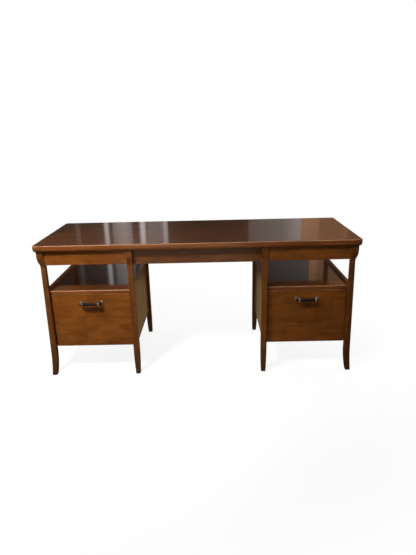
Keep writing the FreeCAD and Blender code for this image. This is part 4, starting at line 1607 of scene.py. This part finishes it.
    @staticmethod
    def soft_patch(
        tree: bpy.types.NodeTree,
        axes: Mapping[str, bpy.types.NodeSocket],
        middle: tuple[float, float],
        half: tuple[float, float],
        fade: tuple[float, float],
    ) -> bpy.types.NodeSocket:
        """Mark a rectangle with soft edges.

        Args:
            tree: Node tree of a card.
            axes: Coordinates of each point.
            middle: Middle of the rectangle.
            half: Its half width and half length.
            fade: Shares of the half size where the edge begins to fade and where it has ended.

        Returns:
            1 in the rectangle, 0 outside it.
        """
        shares = []
        for axis, centre, reach in zip("XY", middle, half):
            off = add_node(tree, "ShaderNodeMath", {1: centre}, {0: axes[axis]}, operation="SUBTRACT")
            size = add_node(tree, "ShaderNodeMath", None, {0: off.outputs[0]}, operation="ABSOLUTE")
            limits = (reach * fade[0], reach * fade[1], 1.0, 0.0)
            shares.append(add_node(
                tree, "ShaderNodeMapRange", dict(zip(RANGE_SOCKETS, limits)), {"Value": size.outputs[0]},
                interpolation_type="SMOOTHSTEP",
            ).outputs["Result"])
        return add_node(
            tree, "ShaderNodeMath", None, {0: shares[0], 1: shares[1]}, operation="MULTIPLY",
        ).outputs[0]

    @staticmethod
    def mirrored_only(card: bpy.types.Object) -> bpy.types.Object:
        """Hide a card from all but the gloss of the desk.

        Args:
            card: A card of the stage.

        Returns:
            The same card.
        """
        card.visible_camera = False
        card.visible_diffuse = False
        card.visible_shadow = False
        card.visible_transmission = False
        card.visible_volume_scatter = False
        return card

    def ground(
        self, tree: bpy.types.NodeTree, axes: Mapping[str, bpy.types.NodeSocket],
    ) -> bpy.types.NodeSocket:
        """Colour the ground that the gloss sees, dark with soft pale patches.

        Args:
            tree: Node tree of the cards.
            axes: The three coordinates of each point.

        Returns:
            Light of the ground.
        """
        # Each patch lies over those before it, and the first over the dark ground
        light: dict[int, bpy.types.NodeSocket] = {}
        for patch in self.pale_ground:
            share = self.soft_patch(tree, axes, patch.middle, patch.half, self.patch_fade)
            light[MIX_FIRST] = add_node(
                tree, "ShaderNodeMix", {MIX_FIRST: self.dark_ground, MIX_SECOND: patch.light},
                {MIX_SHARE: share, **light}, data_type="RGBA",
            ).outputs[MIX_RESULT]
        return light[MIX_FIRST]

    @staticmethod
    def stand(name: str, shape: bmesh.types.BMesh, material: bpy.types.Material) -> bpy.types.Object:
        """Put a piece of the stage into the scene.

        Args:
            name: Name of the piece.
            shape: Its shape, which is freed here.
            material: Its material.

        Returns:
            The piece.
        """
        mesh = bpy.data.meshes.new(name)
        shape.to_mesh(mesh)
        shape.free()
        mesh.materials.append(material)
        piece = bpy.data.objects.new(name, mesh)
        bpy.context.scene.collection.objects.link(piece)
        LOG.info("stage %s", name)
        return piece

    def world(self) -> None:
        """Light the scene softly from all round, with a white background behind it."""
        world = bpy.data.worlds.new("soft_white_studio")
        world.use_nodes = True
        tree = world.node_tree
        soft = tree.nodes["Background"]
        set_inputs(soft, {"Color": self.ambient_tint, "Strength": self.ambient})
        white = add_node(tree, "ShaderNodeBackground", {"Color": WHITE, "Strength": 1.0})
        mixed = add_node(
            tree, "ShaderNodeMixShader", None,
            {0: self.seen_white(tree), 1: soft.outputs[0], 2: white.outputs[0]},
        )
        set_inputs(tree.nodes["World Output"], None, {"Surface": mixed.outputs[0]})
        bpy.context.scene.world = world


@dataclass
class PhotoCamera:
    """Camera at the photograph's view, found from the desk's corners in an image of 416 x 555.

    Its angles are in degrees, its place in metres and its sensor in millimetres.
    """

    place: tuple[float, float, float] = (0.0810, -2.5554, 1.2998)
    yaw: float = -0.687
    pitch_down: float = 18.082
    roll: float = 1.399
    focal_pixels: float = 455.24
    image_height: float = 555.0
    sensor: float = 36.0

    def build(self) -> bpy.types.Object:
        """Set up the camera and make it the scene's own.

        Returns:
            The camera.
        """
        data = bpy.data.cameras.new("photo_camera")
        data.sensor_width = self.sensor
        data.lens = self.focal_pixels * self.sensor / self.image_height
        camera = bpy.data.objects.new("photo_camera", data)
        turned = (
            Matrix.Rotation(math.radians(-self.yaw), 4, "Z")
            @ Matrix.Rotation(math.radians(90.0 - self.pitch_down), 4, "X")
            @ Matrix.Rotation(math.radians(-self.roll), 4, "Z")
        )
        camera.matrix_world = Matrix.Translation(self.place) @ turned
        bpy.context.scene.collection.objects.link(camera)
        bpy.context.scene.camera = camera
        LOG.info("camera lens %.2f mm", data.lens)
        return camera


def main() -> None:
    """Build the looks piece by piece."""
    logging.basicConfig(level=logging.INFO, format="%(name)s: %(message)s")
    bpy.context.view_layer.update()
    Boards().build()
    TopSlab().build()
    for hand in HANDS:
        for place in ("front_corner", "front_inner", "rear_corner", "rear_inner"):
            SabreLeg(f"{hand}_{place}_leg").build()
        BarPull(hand).build()
    DrawerLock().build()
    Studio().build()
    PhotoCamera().build()


if __name__ == "__main__":
    main()
